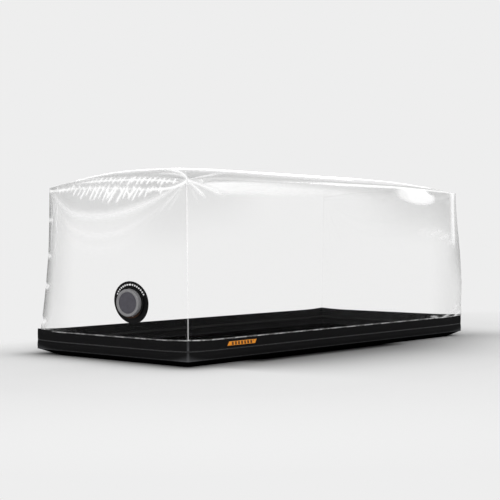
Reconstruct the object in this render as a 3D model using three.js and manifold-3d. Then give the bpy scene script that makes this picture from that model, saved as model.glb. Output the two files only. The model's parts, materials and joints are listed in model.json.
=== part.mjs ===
// A car storage bubble: a clear film canopy on a black tub floor, held up by air from a fan that
// sits in a round port in the front wall. Millimetres, +Z up. The front is at -X, and the origin
// is the middle of the floor sheet's underside.
import * as THREE from "three";
import { mergeVertices } from "three/addons/utils/BufferGeometryUtils.js";
import Module from "manifold-3d";

const wasm = await Module();
wasm.setup();

// Footprint, at the outer face of the black bands
const LENGTH = 4880;
const WIDTH = 2130;

// Heights of the black bands
const SEAM_Z = 55; // where the floor sheet's turned-up edge meets the lower band
const ZIP_Z = 138;
const BAND_TOP = 232;
const ZIP_LIFT = 9; // how much higher the zip and the band's top run at a corner
const TOP_LIFT = 28;
const LIFT_RUN = 420; // length over which they come down again

// Sheet thicknesses and gaps
const FILM = 1.5;
const SHEET = 2;
const GAP = 0.3;
const MITRE = 0.25; // taken off each sheet where two meet at a corner
const STAND = GAP + FILM; // the film's foot laps the band's outer face

// The blown-up canopy
const LAP = 12; // height of the film's welded foot
const FOOT_FLAT = 18; // height of foot that stays flat, lap included
const EAVE_Z = 1733; // height of the four top corners
const EAVE_INSET_X = 71; // how far a top corner stands in from the one below it
const EAVE_INSET_Y = 82;
const SEAM_BOW = 15; // how far a corner seam is drawn in at half height
const SEAM_MARGIN = 16; // flat welded margin beside a seam
const DOME = 112;
const DOME_POWER_X = 8;
const DOME_POWER_Y = 2.4;

// Distances from a corner at which a wall's columns stand, and its rows as shares of the height
const LONG_STATIONS = [0, SEAM_MARGIN, 70, 160, 300, 480, 750, 1150, 1750, LENGTH / 2];
const SHORT_STATIONS = [0, SEAM_MARGIN, 70, 160, 300, 480, 750, WIDTH / 2];
const BAND_STATIONS = [0, 60, 150, 270, LIFT_RUN];
const WALL_HEIGHT = EAVE_Z - BAND_TOP - TOP_LIFT + LAP;
const FOOT_ROW = FOOT_FLAT / WALL_HEIGHT;
const LAST_ROW = 1 - SEAM_MARGIN / WALL_HEIGHT;
const ROWS = [
  ...[0, FOOT_ROW, 0.05, 0.12, 0.22, 0.35, 0.5],
  ...[0.62, 0.68, 0.74, 0.8, 0.86, 0.92, 0.96, LAST_ROW, 1],
];

// A long wall and an end wall. Reach is the distance of the wall's plane from the middle.
const SIDE_WALL = {
  halfRun: LENGTH / 2,
  reach: WIDTH / 2,
  runInset: EAVE_INSET_X,
  reachInset: EAVE_INSET_Y,
  belly: 70, // how far the wall swells out at half height
  brow: 45, // how far its top edge swells out
  rise: 45, // how far its top edge arches up
  power: 6, // how square the swelling is in plan
  swags: false,
  stations: LONG_STATIONS,
};
const END_WALL = {
  halfRun: WIDTH / 2,
  reach: LENGTH / 2,
  runInset: EAVE_INSET_Y,
  reachInset: EAVE_INSET_X,
  belly: 105,
  brow: 20,
  rise: 20,
  power: 2.4,
  swags: true,
  stations: SHORT_STATIONS,
};

// The folds that hang from corner to corner on an end wall: how far each one's middle hangs
// below the eaves, its half width and how far it stands out
const SWAGS = [
  { drop: 300, halfWidth: 75, stand: 14 },
  { drop: 430, halfWidth: 60, stand: 8 },
];
const SWAG_FADE = 0.12; // share of the height over which they die out under the eaves

// The fan port in the front wall, and the fan's round housing in it
const PORT_Y = -375;
const PORT_Z = 580;
const PORT_YAW = 6; // degrees that the fan faces towards -Y
const PORT_DIP = 2; // degrees that it faces down
const COLLAR_RADIUS = 203;
const HOUSING_RADIUS = 131;
const HOUSING_WALL = 12;
const HOUSING_FRONT = 52; // from the film to the housing's front edge
const HOUSING_BACK = 60; // from the film to its back, inside the canopy
const OUTLET_RADIUS = 55;
const PORT_CLEARANCE = 0.4;
const RIM_INNER_RADIUS = 103;
const RIM_DEPTH = 8;
const FOAM_DEPTH = 22;
const CUFF_WIDTH = 20;
const CUFF_DEPTH = 15;
const ROUND_STEPS = 36;

// The plain patch on the long side's upper band
const PATCH_LENGTH = 430;
const PATCH_HEIGHT = 40;
const PATCH_FROM_FRONT = 545;
const PATCH_Z = 187;
const PATCH_THICKNESS = 1;

const material = (color, roughness, extra = {}) =>
  new THREE.MeshStandardMaterial({ color, roughness, metalness: 0, ...extra });
const CLEAR = material(0xf2f5f7, 0.08, { transparent: true, opacity: 0.25, side: THREE.DoubleSide });
const WELD = material(0xf4f6f8, 0.3, { transparent: true, opacity: 0.6 });
const BLACK_PVC = material(0x17181a, 0.42);
const ZIP_BLACK = material(0x2a2b2e, 0.5);
const HOUSING_BLACK = material(0x222326, 0.45);
const RIM_GREY = material(0x6f7073, 0.5);
const FOAM_GREY = material(0x4b4b50, 0.95);
const PATCH_ORANGE = material(0xd98326, 0.5);

const bubble = new THREE.Group();
const place = (name, geometry, look, parent = bubble) => {
  const mesh = new THREE.Mesh(geometry, look);
  mesh.name = name;
  parent.add(mesh);
  return mesh;
};

// ---- Meshes and solids ----

function geometryFrom(points, triangles) {
  const geometry = new THREE.BufferGeometry();
  geometry.setAttribute("position", new THREE.Float32BufferAttribute(points.flat(), 3));
  geometry.setIndex(triangles);
  return geometry;
}

// A closed skin over a list of loops with the same number of points, with a flat cap at each end.
// Seen from the last loop towards the first, the points run anticlockwise.
function loftGeometry(loops) {
  const count = loops[0].length;
  const points = loops.flat();
  const triangles = [];
  for (let k = 0; k + 1 < loops.length; k++)
    for (let i = 0; i < count; i++) {
      const next = (i + 1) % count;
      const [a, b] = [k * count + i, k * count + next];
      const [c, d] = [b + count, a + count];
      triangles.push(a, b, c, a, c, d);
    }
  const flat = loops[0].map((p) => flattened(p, loops[0]));
  const last = (loops.length - 1) * count;
  for (const [i, j, k] of THREE.ShapeUtils.triangulateShape(flat, [])) {
    triangles.push(i, k, j);
    triangles.push(last + i, last + j, last + k);
  }
  return geometryFrom(points, triangles);
}

// A loop's point in the loop's own plane, turned so that the loop runs anticlockwise.
function flattened(point, loop) {
  const [a, b, c] = [0, 1, 2].map((k) => {
    let sum = 0;
    loop.forEach((p, i) => {
      const q = loop[(i + 1) % loop.length];
      sum += p[(k + 1) % 3] * q[(k + 2) % 3] - p[(k + 2) % 3] * q[(k + 1) % 3];
    });
    return sum;
  });
  const normal = new THREE.Vector3(a, b, c).normalize();
  const side = Math.abs(normal.z) < 0.7 ? new THREE.Vector3(0, 0, 1) : new THREE.Vector3(1, 0, 0);
  const across = new THREE.Vector3().crossVectors(side, normal).normalize();
  const up = new THREE.Vector3().crossVectors(normal, across);
  const v = new THREE.Vector3(...point);
  return new THREE.Vector2(v.dot(across), v.dot(up));
}

// A closed sheet between an outer and an inner grid of points. Seen from outside, a grid's
// columns run to the right and its rows run up.
function sheetGeometry(outer, inner) {
  const rows = outer.length;
  const columns = outer[0].length;
  const at = (layer, i, j) => layer * rows * columns + i * columns + j;
  const triangles = [];
  const quad = (a, b, c, d) => triangles.push(a, b, c, a, c, d);
  for (let i = 0; i + 1 < rows; i++)
    for (let j = 0; j + 1 < columns; j++) {
      quad(at(0, i, j), at(0, i, j + 1), at(0, i + 1, j + 1), at(0, i + 1, j));
      quad(at(1, i, j), at(1, i + 1, j), at(1, i + 1, j + 1), at(1, i, j + 1));
    }
  for (let j = 0; j + 1 < columns; j++) {
    quad(at(0, 0, j), at(1, 0, j), at(1, 0, j + 1), at(0, 0, j + 1));
    quad(at(0, rows - 1, j), at(0, rows - 1, j + 1), at(1, rows - 1, j + 1), at(1, rows - 1, j));
  }
  for (let i = 0; i + 1 < rows; i++) {
    quad(at(0, i, 0), at(0, i + 1, 0), at(1, i + 1, 0), at(1, i, 0));
    const j = columns - 1;
    quad(at(0, i, j), at(1, i, j), at(1, i + 1, j), at(0, i + 1, j));
  }
  return geometryFrom([...outer.flat(), ...inner.flat()], triangles);
}

function solidFrom(geometry) {
  const bare = geometry.index ? geometry.toNonIndexed() : geometry.clone();
  bare.deleteAttribute("normal");
  bare.deleteAttribute("uv");
  const merged = mergeVertices(bare, 1e-3);
  return new wasm.Manifold(
    new wasm.Mesh({
      numProp: 3,
      vertProperties: merged.attributes.position.array,
      triVerts: new Uint32Array(merged.index.array),
    }),
  );
}

function geometryOf(solid) {
  const mesh = solid.getMesh();
  const geometry = new THREE.BufferGeometry();
  geometry.setAttribute("position", new THREE.BufferAttribute(mesh.vertProperties, 3));
  geometry.setIndex(new THREE.BufferAttribute(mesh.triVerts, 1));
  return geometry;
}

// ---- The canopy's shape ----

// Both halves of a run, from -1 at one corner to 1 at the other.
function shares(stations, halfRun) {
  const left = stations.map((d) => d / halfRun - 1);
  return [...left, ...left.slice(0, -1).reverse().map((e) => -e)];
}

// How full a swelling is at share e of the run: 1 in the middle, 0 at the seam's flat margin.
function fullness(wall, e, power = wall.power) {
  const free = Math.min(1, (Math.abs(e) * wall.halfRun) / (wall.halfRun - SEAM_MARGIN));
  return 1 - free ** power;
}

// How much higher a band's edge runs near a corner.
const cornerLift = (lift, fromCorner) => lift * Math.max(0, 1 - fromCorner / LIFT_RUN) ** 2;

// How far an end wall's hanging folds stand out at share e of its run, below the eaves.
function swagStand(e, below, rise) {
  const fade = Math.min(1, (1 - rise) / SWAG_FADE);
  return SWAGS.reduce((sum, { drop, halfWidth, stand }) => {
    const off = (below - drop * (1 - e * e)) / halfWidth;
    return sum + fade * stand * Math.exp(-off * off);
  }, 0);
}

// A wall's run, reach and height at share e of its run and share t of its height.
function wallPoint(wall, e, t) {
  const full = fullness(wall, e);
  const foot = BAND_TOP + cornerLift(TOP_LIFT, (1 - Math.abs(e)) * wall.halfRun) - LAP;
  const top = EAVE_Z + wall.rise * full;
  const rise = Math.max(0, (t - FOOT_ROW) / (1 - FOOT_ROW));
  const bow = SEAM_BOW * 4 * rise * (1 - rise);
  const z = foot + t * (top - foot);
  const belly = wall.belly * Math.sin(Math.PI * rise) ** 0.8;
  const swag = wall.swags ? swagStand(e, top - z, rise) : 0;
  const swell = full * (belly + wall.brow * rise + swag);
  return {
    run: e * (wall.halfRun + STAND - wall.runInset * rise - bow),
    reach: wall.reach + STAND - wall.reachInset * rise - bow * (1 - full) + swell,
    z,
  };
}

// A sheet that follows a wall, from depth back to depth front beyond the film's outer face.
// It faces -Y, with its run along X.
function wallSheet(wall, front, back) {
  const columns = shares(wall.stations, wall.halfRun);
  const layer = (depth) =>
    ROWS.map((t) =>
      columns.map((e) => {
        const p = wallPoint(wall, e, t);
        const mitre = e * (depth - MITRE);
        return [p.run + mitre, -(p.reach + depth), p.z + t * (depth - MITRE)];
      }),
    );
  return sheetGeometry(layer(front), layer(back));
}

function roofPoint(p, q) {
  const along = fullness(SIDE_WALL, p);
  const across = fullness(END_WALL, q);
  const dome = DOME * fullness(SIDE_WALL, p, DOME_POWER_X) * fullness(END_WALL, q, DOME_POWER_Y);
  return {
    x: p * (LENGTH / 2 + STAND - EAVE_INSET_X + END_WALL.brow * across),
    y: q * (WIDTH / 2 + STAND - EAVE_INSET_Y + SIDE_WALL.brow * along),
    z: EAVE_Z + SIDE_WALL.rise * along + END_WALL.rise * across + dome,
  };
}

function roofSheet() {
  const columns = shares(LONG_STATIONS, LENGTH / 2);
  const rows = shares(SHORT_STATIONS, WIDTH / 2);
  const layer = (depth) =>
    rows.map((q) =>
      columns.map((p) => {
        const point = roofPoint(p, q);
        return [point.x + p * (depth - MITRE), point.y + q * (depth - MITRE), point.z + depth];
      }),
    );
  return sheetGeometry(layer(0), layer(-FILM));
}

// ---- Welded tapes over the seams ----

// An L-shaped tape: at each place the two ends and the corner of its inner face, and the
// directions in which its two legs gain thickness.
function tapeGeometry(places) {
  const loops = places.map(({ first, corner, second, out, up }) => {
    const moved = (p, a, b) => p.map((v, k) => v + a * out[k] + b * up[k]);
    const thick = GAP + FILM;
    return [
      moved(first, GAP, 0),
      moved(first, thick, 0),
      moved(corner, thick, thick),
      moved(second, 0, thick),
      moved(second, 0, GAP),
      moved(corner, GAP, GAP),
    ];
  });
  return loftGeometry(loops);
}

// The tape up the corner at -X, -Y, from the film's foot to the seam across the roof's end.
// It is lofted downwards.
function cornerTape() {
  const margin = 1 - SEAM_MARGIN / SIDE_WALL.halfRun;
  const endMargin = 1 - SEAM_MARGIN / END_WALL.halfRun;
  const places = ROWS.slice(0, -1).toReversed().map((t) => {
    const side = wallPoint(SIDE_WALL, -margin, t);
    const end = wallPoint(END_WALL, -endMargin, t);
    const corner = wallPoint(SIDE_WALL, -1, t);
    const z = corner.z - (t === LAST_ROW ? STAND : 0);
    return {
      first: [side.run, -side.reach, z],
      corner: [corner.run, -corner.reach, z],
      second: [-end.reach, end.run, z],
      out: [0, -1, 0],
      up: [-1, 0, 0],
    };
  });
  return tapeGeometry(places);
}

// The tape along the roof's end at -X.
function eaveTape() {
  const margin = 1 - SEAM_MARGIN / SIDE_WALL.halfRun;
  const places = shares(SHORT_STATIONS, WIDTH / 2).map((q) => {
    const below = wallPoint(END_WALL, q, LAST_ROW);
    const corner = roofPoint(-1, q);
    const above = roofPoint(-margin, q);
    return {
      first: [-below.reach, below.run, below.z],
      corner: [corner.x, corner.y, corner.z],
      second: [above.x, above.y, above.z],
      out: [-1, 0, 0],
      up: [0, 0, 1],
    };
  });
  return tapeGeometry(places);
}

// ---- The black tub ----

// A strip along one side of the tub: a section of [depth inwards, height, share of the lift]
// points, drawn anticlockwise as seen from the strip's +X end, and carried along X with mitred
// ends. It stands at -Y.
function stripGeometry(section, halfRun, reach, lift) {
  const left = BAND_STATIONS.map((d) => d / halfRun - 1);
  const loops = [...left, ...left.toReversed().map((e) => -e)].map((e) => {
    const raised = cornerLift(lift, (1 - Math.abs(e)) * halfRun);
    return section.map(([depth, z, share = 1]) => {
      const x = e * (halfRun - depth - MITRE);
      return [x, depth - reach, z + raised * share];
    });
  });
  return loftGeometry(loops);
}

// A round-cornered loop of the given half sizes at height z, anticlockwise from above.
function roundedLoop(halfLength, halfWidth, radius, z) {
  const steps = 4;
  const corners = [
    [1, 1],
    [-1, 1],
    [-1, -1],
    [1, -1],
  ];
  return corners.flatMap(([sx, sy], k) =>
    Array.from({ length: steps + 1 }, (_, i) => {
      const angle = (Math.PI / 2) * (k + i / steps);
      const x = sx * (halfLength - radius) + radius * Math.cos(angle);
      const y = sy * (halfWidth - radius) + radius * Math.sin(angle);
      return [x, y, z];
    }),
  );
}

// The floor sheet: flat, with an edge that curls up to the seam. Its corners leave the ground
// well inside the sheet's own corners.
function floorSheet() {
  const curl = 50; // width of the curled edge
  const sharp = 6; // corner radius at the seam
  const round = 190; // corner radius of the flat part
  const turns = [1, 0.75, 0.5, 0.25, 0].map((share) => (share * Math.PI) / 2);
  const loopAt = (turn, thickness) => {
    const inset = curl - (curl - thickness) * Math.sin(turn);
    const z = SEAM_Z - (SEAM_Z - thickness) * Math.cos(turn);
    const radius = sharp + (round - sharp) * Math.cos(turn);
    return roundedLoop(LENGTH / 2 - inset, WIDTH / 2 - inset, radius, z);
  };
  const inside = turns.toReversed().map((turn) => loopAt(turn, SHEET));
  const outside = turns.map((turn) => loopAt(turn, 0));
  return loftGeometry([...inside, ...outside].toReversed());
}

const CHANNEL = 6; // half height of the gap between the bands, where the zip's coil shows
const UPPER_BAND = [
  [0, ZIP_Z + CHANNEL, ZIP_LIFT / TOP_LIFT],
  [SHEET, ZIP_Z + CHANNEL, ZIP_LIFT / TOP_LIFT],
  [SHEET, BAND_TOP],
  [0, BAND_TOP],
];
const LOWER_BAND = [
  [0, SEAM_Z + GAP, 0],
  [SHEET, SEAM_Z + GAP, 0],
  [SHEET, ZIP_Z - CHANNEL],
  [0, ZIP_Z - CHANNEL],
];
// The zip's tape lies behind the bands, and its coil stands forward between them, bevelled, a
// little proud of their outer face.
const TAPE_FACE = SHEET + GAP;
const TAPE_HALF = 12; // half height of the tape
const COIL_HALF = 4; // half height of the coil
const COIL_PROUD = 0.4;
const COIL_BEVEL = 1.2;
const ZIP = [
  [TAPE_FACE, ZIP_Z - TAPE_HALF],
  [TAPE_FACE + SHEET, ZIP_Z - TAPE_HALF],
  [TAPE_FACE + SHEET, ZIP_Z + TAPE_HALF],
  [TAPE_FACE, ZIP_Z + TAPE_HALF],
  [TAPE_FACE, ZIP_Z + COIL_HALF],
  [COIL_BEVEL - COIL_PROUD, ZIP_Z + COIL_HALF],
  [-COIL_PROUD, ZIP_Z + COIL_HALF - COIL_BEVEL],
  [-COIL_PROUD, ZIP_Z - COIL_HALF + COIL_BEVEL],
  [COIL_BEVEL - COIL_PROUD, ZIP_Z - COIL_HALF],
  [TAPE_FACE, ZIP_Z - COIL_HALF],
];

// ---- The fan port ----

const portYaw = THREE.MathUtils.degToRad(PORT_YAW);
const portDip = THREE.MathUtils.degToRad(PORT_DIP);
const portAxis = new THREE.Vector3(
  -Math.cos(portYaw) * Math.cos(portDip),
  -Math.sin(portYaw) * Math.cos(portDip),
  -Math.sin(portDip),
);

// The height share at which the front wall stands at height z.
function rowAt(e, z) {
  const [low, high] = [wallPoint(END_WALL, e, 0).z, wallPoint(END_WALL, e, 1).z];
  return (z - low) / (high - low);
}
const portShare = PORT_Y / END_WALL.halfRun;
const portReach = wallPoint(END_WALL, portShare, rowAt(portShare, PORT_Z)).reach;
const portPlace = new THREE.Matrix4().compose(
  new THREE.Vector3(-portReach, PORT_Y, PORT_Z),
  new THREE.Quaternion().setFromUnitVectors(new THREE.Vector3(0, 1, 0), portAxis),
  new THREE.Vector3(1, 1, 1),
);

// A round piece turned about the port's axis: a profile of [radius, height off the film] points.
function turned(profile) {
  const outline = profile.map(([radius, height]) => new THREE.Vector2(radius, height));
  return new THREE.LatheGeometry(outline, ROUND_STEPS).applyMatrix4(portPlace);
}

// A plain round bar through the port, to cut with.
function portBar(radius) {
  const length = 400;
  const bar = new THREE.CylinderGeometry(radius, radius, length, ROUND_STEPS);
  return solidFrom(bar.applyMatrix4(portPlace));
}

// A sheet that follows the front wall, turned from -Y to -X.
const frontSheet = (front, back) => solidFrom(wallSheet(END_WALL, front, back).rotateZ(-Math.PI / 2));

function portPieces() {
  const bore = portBar(HOUSING_RADIUS + PORT_CLEARANCE);
  const collarFace = GAP + SHEET;
  const frontWall = frontSheet(0, -FILM).subtract(bore);
  const collar = frontSheet(collarFace, GAP).intersect(portBar(COLLAR_RADIUS)).subtract(bore);
  const cuffInner = HOUSING_RADIUS + PORT_CLEARANCE;
  const cuffOuter = cuffInner + CUFF_WIDTH;
  const sunk = -CUFF_WIDTH / 2; // cut back to the collar below
  const slope = CUFF_WIDTH / 2;
  const cuffRing = turned([
    [cuffInner, sunk],
    [cuffOuter, sunk],
    [cuffOuter, CUFF_DEPTH - slope],
    [cuffOuter - slope, CUFF_DEPTH],
    [cuffInner, CUFF_DEPTH],
    [cuffInner, sunk],
  ]);
  const backing = frontSheet(collarFace + GAP, -2 * CUFF_WIDTH);
  const cuff = solidFrom(cuffRing).subtract(backing);
  return { frontWall, collar, cuff };
}

const housingProfile = [
  [OUTLET_RADIUS, -HOUSING_BACK],
  [HOUSING_RADIUS, -HOUSING_BACK],
  [HOUSING_RADIUS, HOUSING_FRONT],
  [HOUSING_RADIUS - HOUSING_WALL, HOUSING_FRONT],
  [HOUSING_RADIUS - HOUSING_WALL, HOUSING_WALL / 2 - HOUSING_BACK],
  [OUTLET_RADIUS, HOUSING_WALL / 2 - HOUSING_BACK],
  [OUTLET_RADIUS, -HOUSING_BACK],
];
const rimFoot = HOUSING_FRONT + GAP;
const rimBevel = RIM_DEPTH / 2;
const rimProfile = [
  [RIM_INNER_RADIUS, rimFoot],
  [HOUSING_RADIUS, rimFoot],
  [HOUSING_RADIUS, rimFoot + RIM_DEPTH - rimBevel],
  [HOUSING_RADIUS - rimBevel, rimFoot + RIM_DEPTH],
  [RIM_INNER_RADIUS + rimBevel, rimFoot + RIM_DEPTH],
  [RIM_INNER_RADIUS, rimFoot + RIM_DEPTH - rimBevel],
  [RIM_INNER_RADIUS, rimFoot],
];
const foamRadius = HOUSING_RADIUS - HOUSING_WALL - PORT_CLEARANCE;
const foamProfile = [
  [0, HOUSING_FRONT - FOAM_DEPTH],
  [foamRadius, HOUSING_FRONT - FOAM_DEPTH],
  [foamRadius, HOUSING_FRONT],
  [0, HOUSING_FRONT],
];

// ---- Assembly ----

place("floor_sheet", floorSheet(), BLACK_PVC);

// The near and far long sides, then the front and rear ends, each built facing -Y and turned.
const SIDES = [
  { name: "near", turn: 0, wall: SIDE_WALL },
  { name: "far", turn: Math.PI, wall: SIDE_WALL },
  { name: "front", turn: -Math.PI / 2, wall: END_WALL },
  { name: "rear", turn: Math.PI / 2, wall: END_WALL },
];
for (const { name, turn, wall } of SIDES) {
  const side = new THREE.Group();
  side.rotation.z = turn;
  bubble.add(side);
  const strip = (section, lift) => stripGeometry(section, wall.halfRun, wall.reach, lift);
  place(`lower_band_${name}`, strip(LOWER_BAND, ZIP_LIFT), BLACK_PVC, side);
  place(`upper_band_${name}`, strip(UPPER_BAND, TOP_LIFT), BLACK_PVC, side);
  place(`zip_${name}`, strip(ZIP, ZIP_LIFT), ZIP_BLACK, side);
  if (name !== "front") place(`film_${name}`, wallSheet(wall, 0, -FILM), CLEAR, side);
}
place("film_roof", roofSheet(), CLEAR);

const { frontWall, collar, cuff } = portPieces();
place("film_front", geometryOf(frontWall), CLEAR);
place("port_collar", geometryOf(collar), BLACK_PVC);
place("port_cuff", geometryOf(cuff), BLACK_PVC);
place("fan_housing", turned(housingProfile), HOUSING_BLACK);
place("filter_rim", turned(rimProfile), RIM_GREY);
place("filter_foam", turned(foamProfile), FOAM_GREY);

// The seams at the front, and the same ones turned round at the rear.
for (const [end, turn] of [
  ["front", 0],
  ["rear", Math.PI],
]) {
  const seams = new THREE.Group();
  seams.rotation.z = turn;
  bubble.add(seams);
  const [first, second] = end === "front" ? ["near", "far"] : ["far", "near"];
  place(`seam_${end}_${first}`, cornerTape(), WELD, seams);
  place(`seam_${end}_${second}`, mirroredInY(cornerTape()), WELD, seams);
  place(`seam_${end}_roof`, eaveTape(), WELD, seams);
}

// A copy on the other side of the XZ plane, with its faces turned back out.
function mirroredInY(geometry) {
  geometry.scale(1, -1, 1);
  const index = Array.from(geometry.index.array);
  for (let i = 0; i < index.length; i += 3) [index[i + 1], index[i + 2]] = [index[i + 2], index[i + 1]];
  return geometry.setIndex(index);
}

const patch = new THREE.BoxGeometry(PATCH_LENGTH, PATCH_THICKNESS, PATCH_HEIGHT);
place("side_patch", patch, PATCH_ORANGE).position.set(
  PATCH_FROM_FRONT + PATCH_LENGTH / 2 - LENGTH / 2,
  -(WIDTH / 2 + GAP + PATCH_THICKNESS / 2),
  PATCH_Z,
);

export default bubble;
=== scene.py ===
# %% [markdown]
# A car storage bubble is a clear film canopy on a black vinyl tub, blown up by a small fan.
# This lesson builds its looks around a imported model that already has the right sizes. The packed
# model comes in first as a fixed frame, and every piece below takes its place from it.

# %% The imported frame
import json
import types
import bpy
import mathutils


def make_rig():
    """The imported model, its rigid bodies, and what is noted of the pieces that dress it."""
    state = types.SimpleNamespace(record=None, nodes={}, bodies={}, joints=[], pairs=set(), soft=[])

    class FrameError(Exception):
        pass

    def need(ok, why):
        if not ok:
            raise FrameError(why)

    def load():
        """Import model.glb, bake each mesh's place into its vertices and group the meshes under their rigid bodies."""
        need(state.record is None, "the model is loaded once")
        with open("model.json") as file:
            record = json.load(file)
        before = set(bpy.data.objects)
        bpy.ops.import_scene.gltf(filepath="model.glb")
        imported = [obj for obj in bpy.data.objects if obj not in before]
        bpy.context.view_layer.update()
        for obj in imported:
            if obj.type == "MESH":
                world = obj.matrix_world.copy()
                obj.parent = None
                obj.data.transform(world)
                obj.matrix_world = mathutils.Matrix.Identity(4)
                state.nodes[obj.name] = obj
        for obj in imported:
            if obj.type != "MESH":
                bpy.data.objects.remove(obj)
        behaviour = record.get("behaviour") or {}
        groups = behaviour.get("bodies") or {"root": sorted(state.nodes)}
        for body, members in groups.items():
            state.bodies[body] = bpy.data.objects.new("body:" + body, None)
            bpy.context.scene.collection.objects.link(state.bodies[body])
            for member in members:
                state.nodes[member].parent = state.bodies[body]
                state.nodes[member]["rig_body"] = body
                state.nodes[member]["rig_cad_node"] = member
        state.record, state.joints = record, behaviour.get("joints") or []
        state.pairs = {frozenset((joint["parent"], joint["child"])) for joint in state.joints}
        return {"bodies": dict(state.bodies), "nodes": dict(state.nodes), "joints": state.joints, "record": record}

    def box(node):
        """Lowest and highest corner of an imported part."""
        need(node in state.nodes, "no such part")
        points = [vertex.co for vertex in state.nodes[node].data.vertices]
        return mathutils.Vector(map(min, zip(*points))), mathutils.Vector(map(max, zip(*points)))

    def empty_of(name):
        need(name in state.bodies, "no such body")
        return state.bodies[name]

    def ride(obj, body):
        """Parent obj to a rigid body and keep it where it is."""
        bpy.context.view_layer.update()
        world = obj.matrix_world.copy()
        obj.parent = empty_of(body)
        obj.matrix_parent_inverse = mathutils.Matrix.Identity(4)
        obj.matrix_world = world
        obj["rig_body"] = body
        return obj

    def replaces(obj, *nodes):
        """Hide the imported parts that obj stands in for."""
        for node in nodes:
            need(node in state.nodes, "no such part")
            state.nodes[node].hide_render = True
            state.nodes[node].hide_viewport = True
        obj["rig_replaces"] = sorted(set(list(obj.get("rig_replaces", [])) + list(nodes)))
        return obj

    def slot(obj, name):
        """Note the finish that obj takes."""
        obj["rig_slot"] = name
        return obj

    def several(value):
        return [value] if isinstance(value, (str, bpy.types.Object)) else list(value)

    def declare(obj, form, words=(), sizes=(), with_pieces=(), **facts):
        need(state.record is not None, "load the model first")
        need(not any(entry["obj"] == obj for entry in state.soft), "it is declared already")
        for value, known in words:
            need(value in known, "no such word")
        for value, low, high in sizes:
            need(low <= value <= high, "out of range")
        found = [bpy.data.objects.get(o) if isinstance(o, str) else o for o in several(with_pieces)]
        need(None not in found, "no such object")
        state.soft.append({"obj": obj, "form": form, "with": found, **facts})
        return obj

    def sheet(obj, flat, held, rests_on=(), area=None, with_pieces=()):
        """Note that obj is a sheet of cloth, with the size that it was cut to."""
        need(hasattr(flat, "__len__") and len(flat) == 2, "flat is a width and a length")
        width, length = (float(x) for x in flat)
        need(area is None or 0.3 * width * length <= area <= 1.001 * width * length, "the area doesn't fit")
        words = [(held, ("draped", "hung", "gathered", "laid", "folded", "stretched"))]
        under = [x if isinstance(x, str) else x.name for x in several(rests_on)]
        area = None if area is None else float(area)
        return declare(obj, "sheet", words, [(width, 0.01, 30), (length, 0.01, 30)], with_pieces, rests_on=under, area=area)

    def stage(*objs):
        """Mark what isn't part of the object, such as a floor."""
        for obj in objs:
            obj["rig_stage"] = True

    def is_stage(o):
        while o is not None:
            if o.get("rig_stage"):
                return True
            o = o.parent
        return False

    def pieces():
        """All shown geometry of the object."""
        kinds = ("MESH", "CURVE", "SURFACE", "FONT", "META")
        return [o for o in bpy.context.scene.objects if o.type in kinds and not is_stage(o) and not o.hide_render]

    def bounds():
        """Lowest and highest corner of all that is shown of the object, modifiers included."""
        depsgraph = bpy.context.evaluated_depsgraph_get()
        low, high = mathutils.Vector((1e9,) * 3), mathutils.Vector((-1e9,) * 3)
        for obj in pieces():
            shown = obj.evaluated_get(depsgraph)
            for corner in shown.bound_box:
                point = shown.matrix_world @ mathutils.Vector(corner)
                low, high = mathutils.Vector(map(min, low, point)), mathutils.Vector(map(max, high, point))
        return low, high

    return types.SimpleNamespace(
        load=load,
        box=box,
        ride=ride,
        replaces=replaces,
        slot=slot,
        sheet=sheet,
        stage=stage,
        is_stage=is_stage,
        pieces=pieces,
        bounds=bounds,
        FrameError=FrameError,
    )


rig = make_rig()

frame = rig.load()

import json
from math import cos, pi, radians, sin
from typing import NamedTuple

import bmesh
import bpy
import numpy as np
from mathutils import Vector

cad_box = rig.bounds()
print("bodies", list(frame["bodies"]), "and", len(frame["nodes"]), "nodes, box", cad_box)

# %% [markdown]
# The camera stands low, in front of the near corner, with a long lens. A short lens close by would
# make the near corner loom and spread the lines. A long one from far away keeps the tub's edges
# nearly parallel, which is how a whole car is usually shown.

# %% Camera
CAMERA_PLACE = (-10.494, -8.626, 1.2)
CAMERA_YAW = 40.25  # degrees from +X
CAMERA_DIP = 0.61
LENS = 86.8  # millimetres, on a sensor 36 wide

camera = bpy.data.objects.new("camera", bpy.data.cameras.new("camera"))
camera.location = CAMERA_PLACE
camera.rotation_euler = (radians(90 - CAMERA_DIP), 0, radians(CAMERA_YAW - 90))
camera.data.lens = LENS
camera.data.sensor_width = 36
bpy.context.collection.objects.link(camera)
bpy.context.scene.camera = camera
print("camera at", CAMERA_PLACE)

# %% [markdown]
# Shader maths reads best as plain sums. Nodes could be added and linked one by one, but then a
# formula is hard to see. Signal wraps a number on a socket, so that an expression such as 1 - mask
# adds the Math nodes by itself.


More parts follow.
